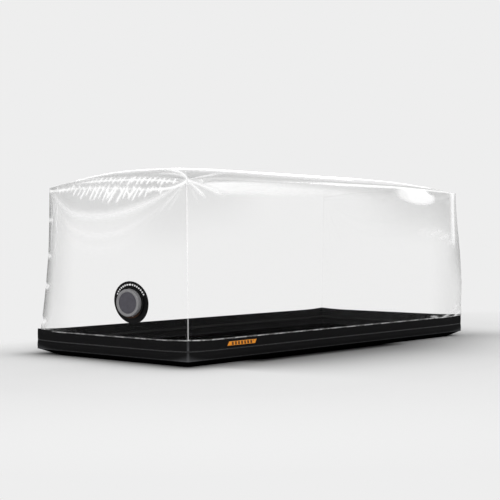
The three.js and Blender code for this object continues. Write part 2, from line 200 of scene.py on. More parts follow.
# %% Signals
class Signal:
    """A number on a shader socket. Each operator adds one Math node, and takes plain numbers."""

    def __init__(self, tree, socket):
        self.tree, self.socket = tree, socket

    def maths(self, operation, *values, clamp=False):
        """Adds one Math node to the tree that this signal is in."""
        node = self.tree.nodes.new("ShaderNodeMath")
        node.operation, node.use_clamp = operation, clamp
        for slot, value in zip(node.inputs, values):
            plug(self.tree, slot, value)
        return Signal(self.tree, node.outputs[0])

    def __add__(self, other):
        return self.maths("ADD", self, other)

    def __sub__(self, other):
        return self.maths("SUBTRACT", self, other)

    def __rsub__(self, other):
        return self.maths("SUBTRACT", other, self)

    def __mul__(self, other):
        return self.maths("MULTIPLY", self, other)

    def __truediv__(self, other):
        return self.maths("DIVIDE", self, other)

    def __pow__(self, other):
        return self.maths("POWER", self, other)

    def __gt__(self, other):
        return self.maths("GREATER_THAN", self, other)

    def __lt__(self, other):
        return self.maths("LESS_THAN", self, other)

    __radd__, __rmul__ = __add__, __mul__

    def clamped(self):
        """The number itself between 0 and 1, and the nearer of the two outside them."""
        return self.maths("ADD", self, 0, clamp=True)

    def larger(self, other):
        return self.maths("MAXIMUM", self, other)


def plug(tree, slot, value):
    """Links a signal or a socket to slot, or sets slot's own value."""
    value = getattr(value, "socket", value)
    if isinstance(value, bpy.types.NodeSocket):
        tree.links.new(value, slot)
    elif slot.type == "RGBA" and len(value) == 3:
        slot.default_value = (*value, 1)
    else:
        slot.default_value = value


def grey(tone):
    """A colour whose red, green and blue are all tone."""
    return (tone,) * 3


print("signals ready")

# %% [markdown]
# Finish holds one material and adds any other node, with its settings first and the values of its
# sockets after them. Most of the tub's surfaces are one opaque skin with a fine bump, and the
# clear ones are crossed with a see-through shader, so both are methods that every finish shares.


# %% Finishes
class Finish:
    """A material, or the world, that is being built node by node."""

    def __init__(self, name, owner=None):
        self.owner = owner or bpy.data.materials.new(name)
        self.owner.use_nodes = True
        self.tree = self.owner.node_tree
        self.tree.nodes.clear()
        self.places = self.node("ShaderNodeTexCoord").outputs["Object"]

    def node(self, kind, settings=(), values=()):
        """Adds a node: {setting: value} first, then {socket name or number: value or link}."""
        node = self.tree.nodes.new(kind)
        for setting, value in dict(settings).items():
            setattr(node, setting, value)
        for slot, value in dict(values).items():
            plug(self.tree, node.inputs[slot], value)
        return node

    def signal(self, node, output=0):
        """One output of a node, ready for sums."""
        return Signal(self.tree, node.outputs[output])

    def layer(self, name):
        """A number that the piece's mesh keeps at each of its points."""
        return self.signal(self.node("ShaderNodeAttribute", {"attribute_name": name}), "Fac")

    def noise(self, scale, detail=2.0, stretch=(1, 1, 1)):
        """Soft noise from 0 to 1, scale lumps to the metre, drawn out along an axis by stretch."""
        at = self.places
        if stretch != (1, 1, 1):
            at = self.node("ShaderNodeMapping", values={"Vector": at, "Scale": stretch}).outputs[0]
        values = {"Vector": at, "Scale": scale, "Detail": detail}
        return self.signal(self.node("ShaderNodeTexNoise", values=values))

    def mixed(self, share, first, second):
        """The first colour where share is 0 and the second where it is 1."""
        node = self.node("ShaderNodeMix", {"data_type": "RGBA"}, {"Factor": share})
        plug(self.tree, node.inputs[6], first)
        plug(self.tree, node.inputs[7], second)
        return node.outputs[2]

    def bumped(self, height, depth, strength):
        """The surface's normal, tilted as if height rose depth metres from 0 to 1."""
        values = {"Height": height, "Distance": depth, "Strength": strength}
        return self.node("ShaderNodeBump", values=values).outputs[0]

    def skin(self, colour, rough, shine, height, depth, strength, metal=0.0):
        """The usual opaque shader, with height bumping its surface by up to depth metres."""
        values = {
            "Base Color": colour,
            "Metallic": metal,
            "Roughness": rough,
            "Specular IOR Level": shine,
            "Normal": self.bumped(height, depth, strength),
        }
        return self.node("ShaderNodeBsdfPrincipled", values=values)

    def crossed(self, share, first, second):
        """The first shader where share is 0 and the second where it is 1."""
        shaders = {0: share, 1: first.outputs[0], 2: second.outputs[0]}
        return self.node("ShaderNodeMixShader", values=shaders)

    def done(self, shader, output="ShaderNodeOutputMaterial"):
        """Joins the last shader to the output, and returns what was built."""
        self.node(output, values={"Surface": shader.outputs[0]})
        return self.owner


print("finishes ready")

# %% [markdown]
# A surface here is a grid of points, worked out as whole arrays. It could be pushed about by hand,
# but a formula is changed in one place and stays smooth. make_piece turns such a grid into a mesh,
# and keeps any layers of numbers on its points for the materials. The grid's columns run to the
# right and its rows run up, as seen from outside, so that its faces point outwards.


# %% From grids to meshes
def grid_faces(rows, columns, ring=False, tube=False):
    """Quads between neighbours. ring joins the last column to the first, tube the last row."""
    i, j = np.meshgrid(
        np.arange(rows if tube else rows - 1),
        np.arange(columns if ring else columns - 1),
        indexing="ij",
    )
    right, up = (j + 1) % columns, (i + 1) % rows
    quads = [i * columns + j, i * columns + right, up * columns + right, up * columns + j]
    return np.stack(quads, axis=-1).reshape(-1, 4)


def make_mesh(name, points, faces, finish, layers=()):
    """A mesh of one finish. layers are {name: one number for each point}."""
    mesh = bpy.data.meshes.new(name)
    mesh.from_pydata(np.asarray(points).reshape(-1, 3), [], faces)
    mesh.materials.append(finish)
    for layer, numbers in dict(layers).items():
        kept = mesh.attributes.new(layer, "FLOAT", "POINT")
        kept.data.foreach_set("value", np.ascontiguousarray(numbers, dtype=np.float32).ravel())
    return mesh


def make_piece(name, points, faces, finish, layers=(), crease=40, weld=0.0):
    """A piece of the model at the origin. Edges bent by more than crease degrees stay sharp, and
    points closer together than weld become one."""
    mesh = make_mesh(name, points, faces, finish, layers)
    if weld:
        shell = bmesh.new()
        shell.from_mesh(mesh)
        bmesh.ops.remove_doubles(shell, verts=shell.verts, dist=weld)
        bmesh.ops.dissolve_degenerate(shell, edges=shell.edges, dist=weld)
        shell.to_mesh(mesh)
        shell.free()
    mesh.shade_smooth()
    mesh.set_sharp_from_angle(angle=radians(crease))
    piece = bpy.data.objects.new(name, mesh)
    bpy.context.collection.objects.link(piece)
    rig.ride(piece, "root")
    print(name, len(mesh.vertices), "points", len(mesh.polygons), "faces")
    return piece


def thicken(piece, thickness):
    """Gives a sheet its thickness, inwards from the face that was drawn."""
    wall = piece.modifiers.new("thickness", "SOLIDIFY")
    wall.thickness, wall.offset = thickness, -1


def normals_of(points):
    """Unit normals of a grid: its step to the right crossed with its step up."""
    right, up = np.gradient(points, axis=1), np.gradient(points, axis=0)
    across = np.cross(right, up)
    return across / np.maximum(np.linalg.norm(across, axis=-1, keepdims=True), 1e-12)


print("mesh helpers ready")

# %% [markdown]
# Film and vinyl have no sharp steps, so every fold, weld and stain below is made of two smooth
# curves: a bump that dies out on both sides, and an S from 0 to 1.


# %% Smooth curves
def hump(distance, width):
    """A smooth bump, 1 at distance 0 and nearly 0 beyond twice its width."""
    return np.exp(-((distance / width) ** 2))


def eased(x, start, end):
    """0 before start, 1 after end, and a smooth S between: 3s^2 - 2s^3."""
    s = np.clip((x - start) / (end - start), 0, 1)
    return s * s * (3 - 2 * s)


def faded(x, start, end):
    """The reverse: 1 before start and 0 after end."""
    return 1 - eased(x, start, end)


print("halfway", eased(0.5, 0, 1), "and one width out", round(hump(1, 1), 3))

# %% [markdown]
# The film is welded to the tub's upper band, and it stands a little outside it. The sizes come
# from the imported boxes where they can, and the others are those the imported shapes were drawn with.

# %% Sizes
HALF_LENGTH = round(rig.box("upper_band_near")[1].x, 3)
HALF_WIDTH = round(-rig.box("upper_band_near")[0].y, 3)
FILM = 0.0015
STAND = 0.0018  # the film's foot laps the band's outer face
EAVE_Z = round(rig.box("film_roof")[0].z + FILM, 3)
BAND_TOP = 0.246
TOP_LIFT = round(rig.box("upper_band_near")[1].z - BAND_TOP, 3)  # its rise at the corners
ZIP_LIFT = 0.009
LIFT_RUN = 0.42  # length over which a band's edge comes down from its corner
LAP = 0.012  # how far the film reaches down over the band
FOOT_FLAT = 0.018  # height of the film's flat foot, lap included
SEAM_BOW = 0.015  # how far the air draws a corner seam in at half height
SEAM_MARGIN = 0.016  # half width of a weld
DOME = 0.080  # the roof's rise above its arched edges
WALL_HEIGHT = EAVE_Z - BAND_TOP - TOP_LIFT + LAP
FOOT_ROW = FOOT_FLAT / WALL_HEIGHT
print("half sizes", HALF_LENGTH, HALF_WIDTH, "eaves at", EAVE_Z)

# %% [markdown]
# The canopy's big shape is the air's: flat welded margins at the seams, fullest in the middle. A
# cloth simulation with air in it could blow it up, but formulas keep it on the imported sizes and
# give the same film at each run. Each wall is a function of e, which goes from -1 at one corner to
# 1 at the other, and t, which goes from 0 at its foot to 1 at the eaves.


# %% The blown-up shape
class Wall(NamedTuple):
    """One upright wall's sizes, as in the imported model."""

    half_run: float
    reach: float  # distance of its foot from the middle
    run_inset: float  # how far its top corners stand in, along it
    reach_inset: float  # and square to it
    belly: float  # its swelling at half height
    brow: float  # and at the top
    rise: float  # how much higher its eave is at mid length
    power: float  # how square the swelling is in plan


SIDE = Wall(HALF_LENGTH, HALF_WIDTH, 0.071, 0.082, 0.07, 0.045, 0.045, 6)
END = Wall(HALF_WIDTH, HALF_LENGTH, 0.082, 0.071, 0.105, 0.02, 0.05, 2.4)


def fullness(wall, e, power=None):
    """1 - |e|^power, with |e| stretched so that the swelling ends at the seam's flat margin."""
    free = np.minimum(1, abs(e) * wall.half_run / (wall.half_run - SEAM_MARGIN))
    return 1 - free ** (power or wall.power)


def corner_lift(lift, from_corner):
    """A parabola that falls from lift at the corner to nothing at LIFT_RUN."""
    return lift * np.clip(1 - from_corner / LIFT_RUN, 0, None) ** 2


def wall_point(wall, e, t):
    """(along the wall, out from the middle, up): a straight lean from foot to eave, plus a belly
    of sine shape at half height and a brow at the top, both times the fullness."""
    full = fullness(wall, e)
    from_corner = (1 - abs(e)) * wall.half_run
    foot = BAND_TOP + corner_lift(TOP_LIFT, from_corner) - LAP
    top = EAVE_Z + wall.rise * full
    rise = np.clip((t - FOOT_ROW) / (1 - FOOT_ROW), 0, 1)
    z = foot + t * (top - foot)
    bow = SEAM_BOW * 4 * rise * (1 - rise)
    run = e * (wall.half_run + STAND - wall.run_inset * rise - bow)
    swell = full * (wall.belly * np.sin(pi * rise) ** 0.8 + wall.brow * rise)
    reach = wall.reach + STAND - wall.reach_inset * rise - bow * (1 - full) + swell
    return run, reach, z


def roof_point(p, q):
    """(x, y, z): the eaves' own arches, plus a dome of fullness^8 along and fullness^2.4 across."""
    along, across = fullness(SIDE, p), fullness(END, q)
    dome = DOME * fullness(SIDE, p, 8) * across
    x = p * (HALF_LENGTH + STAND - SIDE.run_inset + END.brow * across)
    y = q * (HALF_WIDTH + STAND - SIDE.reach_inset + SIDE.brow * along)
    return x, y, EAVE_Z + SIDE.rise * along + END.rise * across + dome


print("walls", SIDE[:2], END[:2], "rise to", round(EAVE_Z + SIDE.rise + END.rise + DOME, 3))

# %% [markdown]
# Real film is a little too big for its frame. The far front corner hangs slack and is pinched down
# its seam, the near rear corner stands full, and the weight of the fan turns the film round it.
# This could go into every wall's formula, but it is simpler to move the points of all walls by one
# rule afterwards, and then neighbours still meet at their seams.

# %% Slack film
# the fan port's place and axis: the middle of the fan's housing, brought onto the film
HOUSING_RADIUS, HOUSING_FRONT, HOUSING_BACK = 0.131, 0.052, 0.060
PORT_YAW, PORT_DIP = radians(9), radians(2)
PORT_AXIS = -np.array([cos(PORT_YAW) * cos(PORT_DIP), sin(PORT_YAW) * cos(PORT_DIP), sin(PORT_DIP)])
housing_low, housing_high = (np.array(corner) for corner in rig.box("fan_housing"))
PORT = (housing_low + housing_high) / 2 + PORT_AXIS * (HOUSING_BACK - HOUSING_FRONT) / 2
PORT_TURN = 0.13  # how much the fan's weight turns the film round it, as a slope

LOW_CORNER = np.array([-HALF_LENGTH, HALF_WIDTH])
FULL_CORNER = -LOW_CORNER
# pinches down the low corner's seam: height, depth, half height
PINCHES = [(1.39, 0.014, 0.018), (1.02, 0.018, 0.02), (0.71, 0.024, 0.02), (0.35, 0.016, 0.026)]


def seam_pinch(z, away, reach=0.08):
    """How far the pinches draw the film in: Gaussians in height, fading away from the seam."""
    return sum(deep * hump(z - at, half) for at, deep, half in PINCHES) * hump(away, reach)


def settled(points):
    """Slackness added to the air's shape: the far front corner hangs lower and is drawn in, the
    near rear one stands out, and the film round the fan is turned a little to the near side."""
    points = points.copy()
    from_low = np.linalg.norm(points[..., :2] - LOW_CORNER, axis=-1)
    from_full = np.linalg.norm(points[..., :2] - FULL_CORNER, axis=-1)
    z = points[..., 2].copy()
    reach = 0.13 + 0.32 * eased(z, 0.24, 0.6)
    drawn = 0.042 * (1 - 0.4 * eased(z, 0.9, 1.7)) * hump(from_low, reach)
    drawn += seam_pinch(z, from_low)
    out = (0.036 * eased(z, 0.24, 0.7) + 0.022 * hump(z - 1.0, 0.45)) * hump(from_full, 0.5)
    points[..., 0] += 0.65 * out
    points[..., 1] -= 0.76 * out
    points[..., 0] += 0.8 * drawn
    points[..., 1] -= 0.6 * drawn
    points[..., 2] -= 0.025 * hump(from_low, 0.5) * eased(z, 1.2, 1.7)
    offset = points - PORT
    from_port = np.linalg.norm(offset[..., 1:], axis=-1)
    turn = -PORT_TURN * offset[..., 1] * hump(from_port, 0.34) * eased(z, 0.25, 0.45)
    points[..., 0] += np.where(points[..., 0] < 0, turn, 0)
    return points


print("port at", PORT.round(3), "pinches", len(PINCHES))

# %% [markdown]
# Where too much film meets a tight seam it gathers into short slanted crimps. They could be
# sculpted, but a row of ridges from a seeded generator is just as uneven and is easily moved. Each
# is a smooth ridge in the wall's own flat measure: u metres from the near corner, and d metres
# below the eaves. The same numbers that lift the film also feed two layers: a white one, where
# creased film turns milky and a painted highlight lies, and a grey one of painted shade.


# %% Crimps
def strokes(u, d, lines):
    """Sum of short soft ridges. Each is (u, d, half length, half width, slope, strength), and its
    section is a Gaussian across the line that fades at both ends with the fourth power."""
    total = np.zeros(np.broadcast(u, d).shape)
    for at_u, at_d, half, width, slope, strength in lines:
        along = (u - at_u) * cos(slope) + (d - at_d) * sin(slope)
        aside = (d - at_d) * cos(slope) - (u - at_u) * sin(slope)
        total += strength * np.exp(-((aside / width) ** 2) - (along / half) ** 4)
    return total


def crimp_lines(seed, count, first, last, top, depth, slope, half_width, least=0.12, jitter=0.0):
    """A row of uneven crimps for strokes, from first to last along a seam, by a seeded generator.
    Their upper ends lie at top, a number or a function of u, give or take jitter. They are deepest
    at a third of the way, and fall from there to their least share as a Gaussian."""
    chance = np.random.default_rng(seed)
    at = np.linspace(first, last, count) + chance.normal(0, 0.010, count)
    share = (at - first) / (last - first) - 0.38
    fall = hump(share, np.where(share < 0, 0.3, 0.42))
    deep = depth * (least + (1 - least) * fall) * chance.uniform(0.72, 1.12, count)
    half = deep / 2 / np.abs(np.sin(slope))
    width = half_width * chance.uniform(0.75, 1.3, count) * (0.6 + 0.4 * fall)
    lean = slope + chance.normal(0, 0.12, count)
    begin = (top(at) if callable(top) else top) + chance.normal(0, 1, count) * jitter
    even = max(0.5, 1.3 * least)
    strong = chance.uniform(0.75, 1.0, count) * (even + (1 - even) * fall)
    return list(zip(at, begin + deep / 2, half, width, lean, strong))


print("crimp functions ready")

# %% [markdown]
# Longer folds follow the pull in the film. A swag hangs between two corners like a slack rope, and
# rays fan out of one corner, where the film is held. Both are a line with a Gaussian across it,
# because the line can then be placed exactly and its section stays soft.


# %% Swags and rays
def swag_line(u, centre, drop):
    """(share, how far below the eaves a swag hangs): drop * (1 - share^power), where share goes
    from 0 at its lowest place to 1 at either corner, and power is 2 before it and 2.7 after."""
    before = u < centre
    share = np.where(before, centre - u, u - centre)
    share = share / np.where(before, centre, 2 * HALF_WIDTH - centre)
    return share, drop * (1 - share ** np.where(before, 2.0, 2.7))


def swag(u, d, centre, drop, width, strength, start=0.0):
    """A long fold that hangs from corner to corner along swag_line, a Gaussian across. It is
    narrow at the corners, and reaches its full strength at u = start."""
    share, hang = swag_line(u, centre, drop)
    grown = eased(u, -0.01, start) if start else 1.0
    least = np.where(u < centre, 0.25, 0.6)
    wide = width * (least + (1 - least) * faded(share, 0.4, 1))
    return strength * grown * hump(d - hang, wide)


def ray(u, d, angle, length, spread, strength, start=0.0):
    """A fold that fans out of the corner at u = d = 0. It widens with distance and dies out."""
    away = np.hypot(u, d) + 1e-6
    aside = (np.arctan2(d, u) - radians(angle)) * away
    width = 0.006 + spread * away
    fade = faded(away, 0.55 * length, length) * eased(away, start, start + 0.03)
    return strength * fade * hump(aside, width)


print("fold functions ready")

# %% [markdown]
# Clear vinyl film is a thin mirror more than it is a colour: seen square on it vanishes, and seen
# aslant it shines. A glass shader would bend the light twice in each sheet, so the finish mixes a
# see-through shader with a glossy one by a high power of the angle of sight, much as Schlick's
# rule does. It adds a white layer, partly the milkiness of welds and creases and partly painted
# highlight, and a grey layer of painted shade. Milky film is no mirror, and spreads the light.


# %% Clear film
def film_finish(name, haze):
    """Clear film: mirror is 0.001 + 0.8 * aslant^6. The white layer (milky film and painted
    highlight) and the grey layer (painted shade) come from the mesh.
    """
    look = Finish(name)
    aslant = look.signal(look.node("ShaderNodeLayerWeight", values={"Blend": 0.5}), "Facing")
    wisps = look.noise(2.2, 3.0)
    milk_and_highlight = (look.layer("milk_and_highlight") + haze * wisps).clamped()
    mirror = (0.001 + 0.8 * aslant**6) * (1 - 0.85 * milk_and_highlight)
    shade = look.layer("shade")
    cover = (mirror + milk_and_highlight + shade).clamped()
    share = (mirror / (mirror + milk_and_highlight + shade)).clamped()
    pale = (milk_and_highlight / (milk_and_highlight + shade + 0.0001)).clamped()
    # the painted shade is grey(0.27), and milky film with painted highlight is grey(0.98)
    matt = look.mixed(pale, grey(0.27), grey(0.98))
    colour = look.mixed(share, matt, grey(0.97))
    ripple = look.noise(18.0, 3.0)
    glossy = look.skin(colour, 0.05 + 0.4 * milk_and_highlight, 0.1, ripple, 0.002, 0.15, metal=share)
    clear = look.node("ShaderNodeBsdfTransparent", values={"Color": (0.9995, 0.9995, 0.999)})
    return look.done(look.crossed(cover, clear, glossy))


def film_piece(name, points, faces, milk_and_highlight, shade):
    """A sheet of clear film with its two layers, each kept between 0 and 1."""
    layers = {"milk_and_highlight": np.clip(milk_and_highlight, 0, 1), "shade": np.clip(shade, 0, 1)}
    piece = make_piece(name, points, faces, CLEAR_FILM, layers)
    thicken(piece, FILM)
    return piece


CLEAR_FILM = film_finish("clear_film", 0.0006)
print("made", CLEAR_FILM.name)

# %% [markdown]
# The wrap is one sheet: up the near side, over the roof and down the far side. It could be three
# panels, but they would need a seam at each eave, and the real one has none. So the eaves are
# rounded instead, by taking the mean of points a short way along the girth.

# %% The wrap's shape
ROOF_GIRTH = 2 * HALF_WIDTH
GIRTH = 2 * WALL_HEIGHT + ROOF_GIRTH
EAVE_ROUND = 0.085  # how far a rounded eave reaches along the girth, at mid length


def sharp_wrap(p, g):
    """The wrap with sharp eaves. g is the girth in metres from the near foot."""
    near, far = g / WALL_HEIGHT, (GIRTH - g) / WALL_HEIGHT
    side = np.minimum(near, far) < 1
    run, reach, z = wall_point(SIDE, p, np.clip(np.minimum(near, far), 0, 1))
    q = np.clip((g - WALL_HEIGHT) / ROOF_GIRTH, 0, 1) * 2 - 1
    x, y, top = roof_point(p, q)
    wall_y = np.where(near < far, -reach, reach)
    return np.stack(
        [np.where(side, run, x), np.where(side, wall_y, y), np.where(side, z, top)], axis=-1
    )


def wrap_point(p, g):
    """The mean of sharp_wrap over a short way along the girth, which rounds the eaves off."""
    from_eave = np.minimum(abs(g - WALL_HEIGHT), abs(g - WALL_HEIGHT - ROOF_GIRTH))
    way = EAVE_ROUND * fullness(SIDE, p, 8) * faded(from_eave, 0.05, 0.22)
    steps = np.linspace(-1, 1, 9)
    weights = 1 - abs(steps) / 1.6
    moved = [w * sharp_wrap(p, g + s * way) for s, w in zip(steps, weights)]
    return settled(sum(moved) / weights.sum())


print("girth", round(GIRTH, 3), "m, foot to foot")

# %% [markdown]
# Folds need a fine grid near the seams and the foot, and the middle of a wall needs far fewer
# points. An even grid fine enough for the folds would be several times as heavy, so the grid's
# lines lie closer together towards every edge. The folds are then drawn in plain measures: from
# either end, down from the eaves, and over the roof from them.


# %% The wrap's grid
def spaced(before, after, tightness):
    """Numbers from -1 to 1, with that many steps before 0 and after it, closer together near both
    ends: 1 - (1 - s)^tightness on either side."""
    low, high = (1 - (1 - np.linspace(0, 1, count + 1)) ** tightness for count in (before, after))
    return np.concatenate([-low[::-1], high[1:]])


wrap_p = spaced(110, 110, 1.5)
foot_steps = [0, 0.006, LAP, FOOT_FLAT, 0.028, 0.04, 0.055, 0.07, 0.085, 0.1, 0.12, 0.14, 0.17]
FOOT_END = 0.2
rest = FOOT_END + (1 - (1 - np.linspace(0, 1, 62)) ** 1.4) * (WALL_HEIGHT - FOOT_END)
wall_steps = np.concatenate([foot_steps, rest])
roof_steps = WALL_HEIGHT + (spaced(52, 18, 1.4)[1:] + 1) / 2 * ROOF_GIRTH
wrap_g = np.concatenate([wall_steps, roof_steps, (GIRTH - wall_steps[::-1])[1:]])
p, g = np.meshgrid(wrap_p, wrap_g)
wrap = wrap_point(p, g)

from_front, from_rear = (p + 1) * HALF_LENGTH, (1 - p) * HALF_LENGTH
down = np.maximum(WALL_HEIGHT - np.minimum(g, GIRTH - g), 0)
over = np.maximum(np.minimum(g, GIRTH - g) - WALL_HEIGHT, 0)
on_wall = over <= 0
on_roof = 1 - on_wall
near_side = eased(GIRTH / 2 - g, -0.3, 0.3)  # 1 on the near half, 0 on the far half
print("grid of", *p.shape, "points")

# %% [markdown]
# Folds fan out of both top corners, where three seams meet and the film is held. They run down the
# wall and over the roof, and the roof's front ones bend towards the seam. A bump texture could
# show them, but real ridges also bend the outline and what the film reflects. Every fold both
# lifts the film and gets a painted white highlight. The far side stays almost smooth, so as not
# to show through.

# %% Fans of folds
WALL_RAYS = {
    "front": [(19, 0.56, 0.024, 0.8), (37, 0.32, 0.026, 0.9), (58, 0.3, 0.02, 0.15)],
    "rear": [(30, 0.4, 0.05, 0.12), (14, 0.6, 0.04, 0.12)],
}
# over the roof each bends from the seam by its first number times over^2
ROOF_RAYS = {
    "front": [(0.65, 44, 1.2, 0.026, 1.1), (1.3, 44, 0.9, 0.02, 0.7), (0, 74, 0.8, 0.03, 0.8)],
    "rear": [(0, 22, 0.34, 0.05, 1.0), (0, 38, 0.3, 0.05, 0.8), (0, 66, 0.6, 0.045, 0.8)],
}
RAY_RISE, REAR_FOLD_RISE, STREAK_RISE = 0.008, 0.012, 0.001  # how far they lift the film
fold = np.zeros_like(p)
milk_and_highlight = np.zeros_like(p)
for end, from_end in [("front", from_front), ("rear", from_rear)]:
    ridge = sum(ray(from_end, down, *row) for row in WALL_RAYS[end]) * on_wall
    for bend, *row in ROOF_RAYS[end]:
        ridge = ridge + ray(over, from_end + bend * over**2, *row) * on_roof
    fold += RAY_RISE * ridge * (0.05 + 0.95 * near_side)
    # the white along each fold is a painted highlight
    milk_and_highlight += ridge * near_side

# the stiff fold just ahead of the rear corner, with a painted highlight down it
rear_line = hump(from_rear - 0.09 - 0.16 * down, 0.036) * eased(down, 0.0, 0.04)
rear_line = rear_line * faded(down, 0.5, 0.7) * on_wall
fold += REAR_FOLD_RISE * rear_line
milk_and_highlight += 1.4 * rear_line * near_side
print("folds up to", round(fold.max() * 1000, 1), "mm")

# %% [markdown]
# Under the near eave the curved film catches the light as a long soft shine. It is widest behind
# the front corner, has one bright patch towards the rear, and thins out to a line along the eave.
# Lamps alone give such smooth film a thin hard glint, so the soft part goes into the milk layer.

# %% Caught light under the eave
# the long shine lies between two edges, and the lower one swings down from the front corner
lower_edge = 0.138 * eased(from_front, -0.12, 0.58) ** 1.5
upper_edge = 0.026 + 0.05 * np.exp(-from_front / 0.22)
inside = np.clip((down - upper_edge) / (lower_edge - upper_edge + 0.001), -1, 2)
shoulder = eased(inside, -0.1, 0.2)
shoulder *= 1 - 0.5 * np.clip(inside, 0, 1) * eased(from_front, 0.3, 0.9)
shoulder *= faded(down, lower_edge - 0.015, lower_edge + 0.03)
shoulder *= eased(from_front, 0.12, 0.26) * (1 - 0.92 * eased(from_front, 0.5, 2.3))
milk_and_highlight += 0.52 * shoulder * on_wall * near_side

# the bright patch is an oval, soft towards the front and notched behind
PATCH_MIDDLE, PATCH_DOWN = 0.92, 0.085
aside = (from_rear - PATCH_MIDDLE) / np.where(from_rear > PATCH_MIDDLE, 0.56, 0.40)
oval = aside**2 + ((down - PATCH_DOWN + 0.02 * aside) / 0.105) ** 2
patch = faded(oval, 0.55 - 0.45 * eased(aside, 0, 1), 1.1) * (1 - 0.7 * eased(aside, 0.1, 1))
notch = faded(((from_rear - 0.52) / 0.17) ** 2 + ((down - 0.03) / 0.05) ** 2, 0.5, 1.3)
milk_and_highlight += 1.1 * patch * (1 - notch) * on_wall * near_side

# the line along the eave climbs a little onto the roof as it leaves the rear corner
raised = 0.016 * eased(from_rear, 0.7, 1.4)
eave_line = hump(down - over + raised, 0.016 + 0.5 * raised) * eased(from_front, 1.6, 2.5)
milk_and_highlight += 0.9 * eave_line * eased(from_rear, 0.0, 0.05) * near_side
print("milky share of the wrap", round(float(np.mean(milk_and_highlight > 0.2)), 3))

# %% [markdown]
# Lower down, long shallow streaks run up to the rear corner: painted highlights with a faint
# rise. At the foot the film is welded to the band, which leaves a thin milky line and small puckers
# above it. The puckers follow a few sines of different lengths, as a weld draws film in unevenly,
# but in waves.

# %% Streaks and the foot
STREAKS = [
    (0.60, 0.500, 0.16, 0.026, radians(10), 0.34),
    (0.42, 0.545, 0.15, 0.025, radians(11), 0.36),
    (0.26, 0.595, 0.11, 0.023, radians(12), 0.28),
    (0.88, 0.490, 0.14, 0.026, radians(8), 0.18),
]
streak = strokes(from_rear, down, STREAKS) * on_wall
fold += STREAK_RISE * streak
milk_and_highlight += streak * near_side


def foot_folds(up, wave, reach):
    """(how far the film stands out, how milky it is) at the foot, up metres above its edge: a
    thin weld, and puckers that follow wave and fade beyond reach."""
    return 0.003 * wave * hump(up - 0.05, reach), (0.3 + 0.15 * wave) * faded(up, 0.004, 0.011)


chance = np.random.default_rng(5)
foot_wave = sum(
    a * np.sin(2 * pi * (p * HALF_LENGTH) / length + phase)
    for a, length, phase in zip([0.5, 0.3, 0.4], [0.31, 0.113, 0.067], chance.uniform(0, 6, 3))
)
up = np.minimum(g, GIRTH - g)
puckers, weld_line = foot_folds(up, foot_wave, 0.035)
fold += puckers
milk_and_highlight += weld_line
# short white flecks near the rear corner: painted glints
FLECKS = [
    (0.13, 0.11, 0.06, 0.016, -0.5, 0.7),
    (0.10, 0.03, 0.07, 0.014, -0.3, 0.7),
    (0.34, 0.025, 0.09, 0.012, -0.2, 0.5),
    (0.62, 0.02, 0.08, 0.010, 0.1, 0.4),
]
milk_and_highlight += strokes(from_rear, up, FLECKS) * near_side
print("streaks", len(STREAKS), "flecks", len(FLECKS))

# %% [markdown]
# The film is drawn faintly grey by the eaves, at both ends, and behind the roof's seams. This is
# painted shade: it stands in for the darker room that the film reflects there. A darker film would
# grey all of it, so the grey is a layer of its own, which white hides. Then the wrap is lifted
# along its own normals and becomes one sheet, which takes the place of three packed ones.

# %% Painted grey, and the wrap itself
# painted shade on the near wall, along the roof's near edge and by the front seam
rearward = eased(from_front, 1.8, 3.2)
by_rear = faded(from_rear, -0.1, 0.42)
shade = 0.10 * faded(down, 0.0, 0.6) * faded(from_front, 0.2, 1.2)
shade += 0.14 * faded(from_rear, 0.7, 2.4) * faded(down, 0.15, 0.68)
shade += 0.07 * faded(from_rear, 0.2, 0.8) + 0.1 * hump(from_rear, 0.1) * eased(down, 0.1, 0.5)
shade += 0.26 * hump(down - 0.72, 0.28) * by_rear
by_eave = (0.11 + 0.03 * rearward) * hump(down - 0.03, 0.036 + 0.06 * rearward)
shade += by_eave * eased(from_front, 0.1, 0.5) * (0.3 + 0.7 * eased(from_rear, 0.3, 1.3))
shade *= on_wall * near_side
shade += 0.10 * faded(over, 0.02, 0.6) * on_roof * near_side
shade += 0.12 * faded(from_front, 0.0, 0.3) * on_roof
shade += 0.3 * (hump(from_front, 0.06) * (1 - near_side) * on_wall)
shade = shade * (1 - np.clip(2 * milk_and_highlight, 0, 1))
fold *= eased(np.minimum(from_front, from_rear), 0.004, 0.03)
wrap = wrap + normals_of(wrap) * fold[..., None]
canopy_wrap = film_piece("canopy_wrap", wrap, grid_faces(*p.shape), milk_and_highlight, shade)
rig.replaces(canopy_wrap, "film_near", "film_roof", "film_far")
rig.slot(canopy_wrap, "clear_film")
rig.sheet(canopy_wrap, flat=(2 * HALF_LENGTH, GIRTH), held="stretched", rests_on=["upper_band_near"])

# %% [markdown]
# Each end is a flat panel welded into the wrap. The front one carries most of the folds: a row of
# crimps under the roof seam, three swags that hang from corner to corner, and fans of fine folds
# at both top corners. One function gives their height, their painted white highlights and their
# painted grey shade together, so that the three always agree.


# %% Folds of an end panel
def hem_line(u):
    """How far below the seam the front panel's gathers begin: it drops at once from the near
    corner, as 1 - exp(-u), and climbs back slowly, as a square root."""
    return 0.128 * (1 - np.exp(-u / 0.2)) * np.sqrt(np.clip(1 - u / 2.2, 0, 1))


# small slanted teeth right below the roof seam, on a crease that runs through them
SEAM_TEETH = crimp_lines(11, 18, 0.16, 1.36, 0.004, 0.066, radians(50), 0.011, 0.6, 0.004)
FRONT_CRIMPS = crimp_lines(3, 24, 0.30, 1.98, hem_line, 0.136, radians(56), 0.0135, 0.12, 0.010)
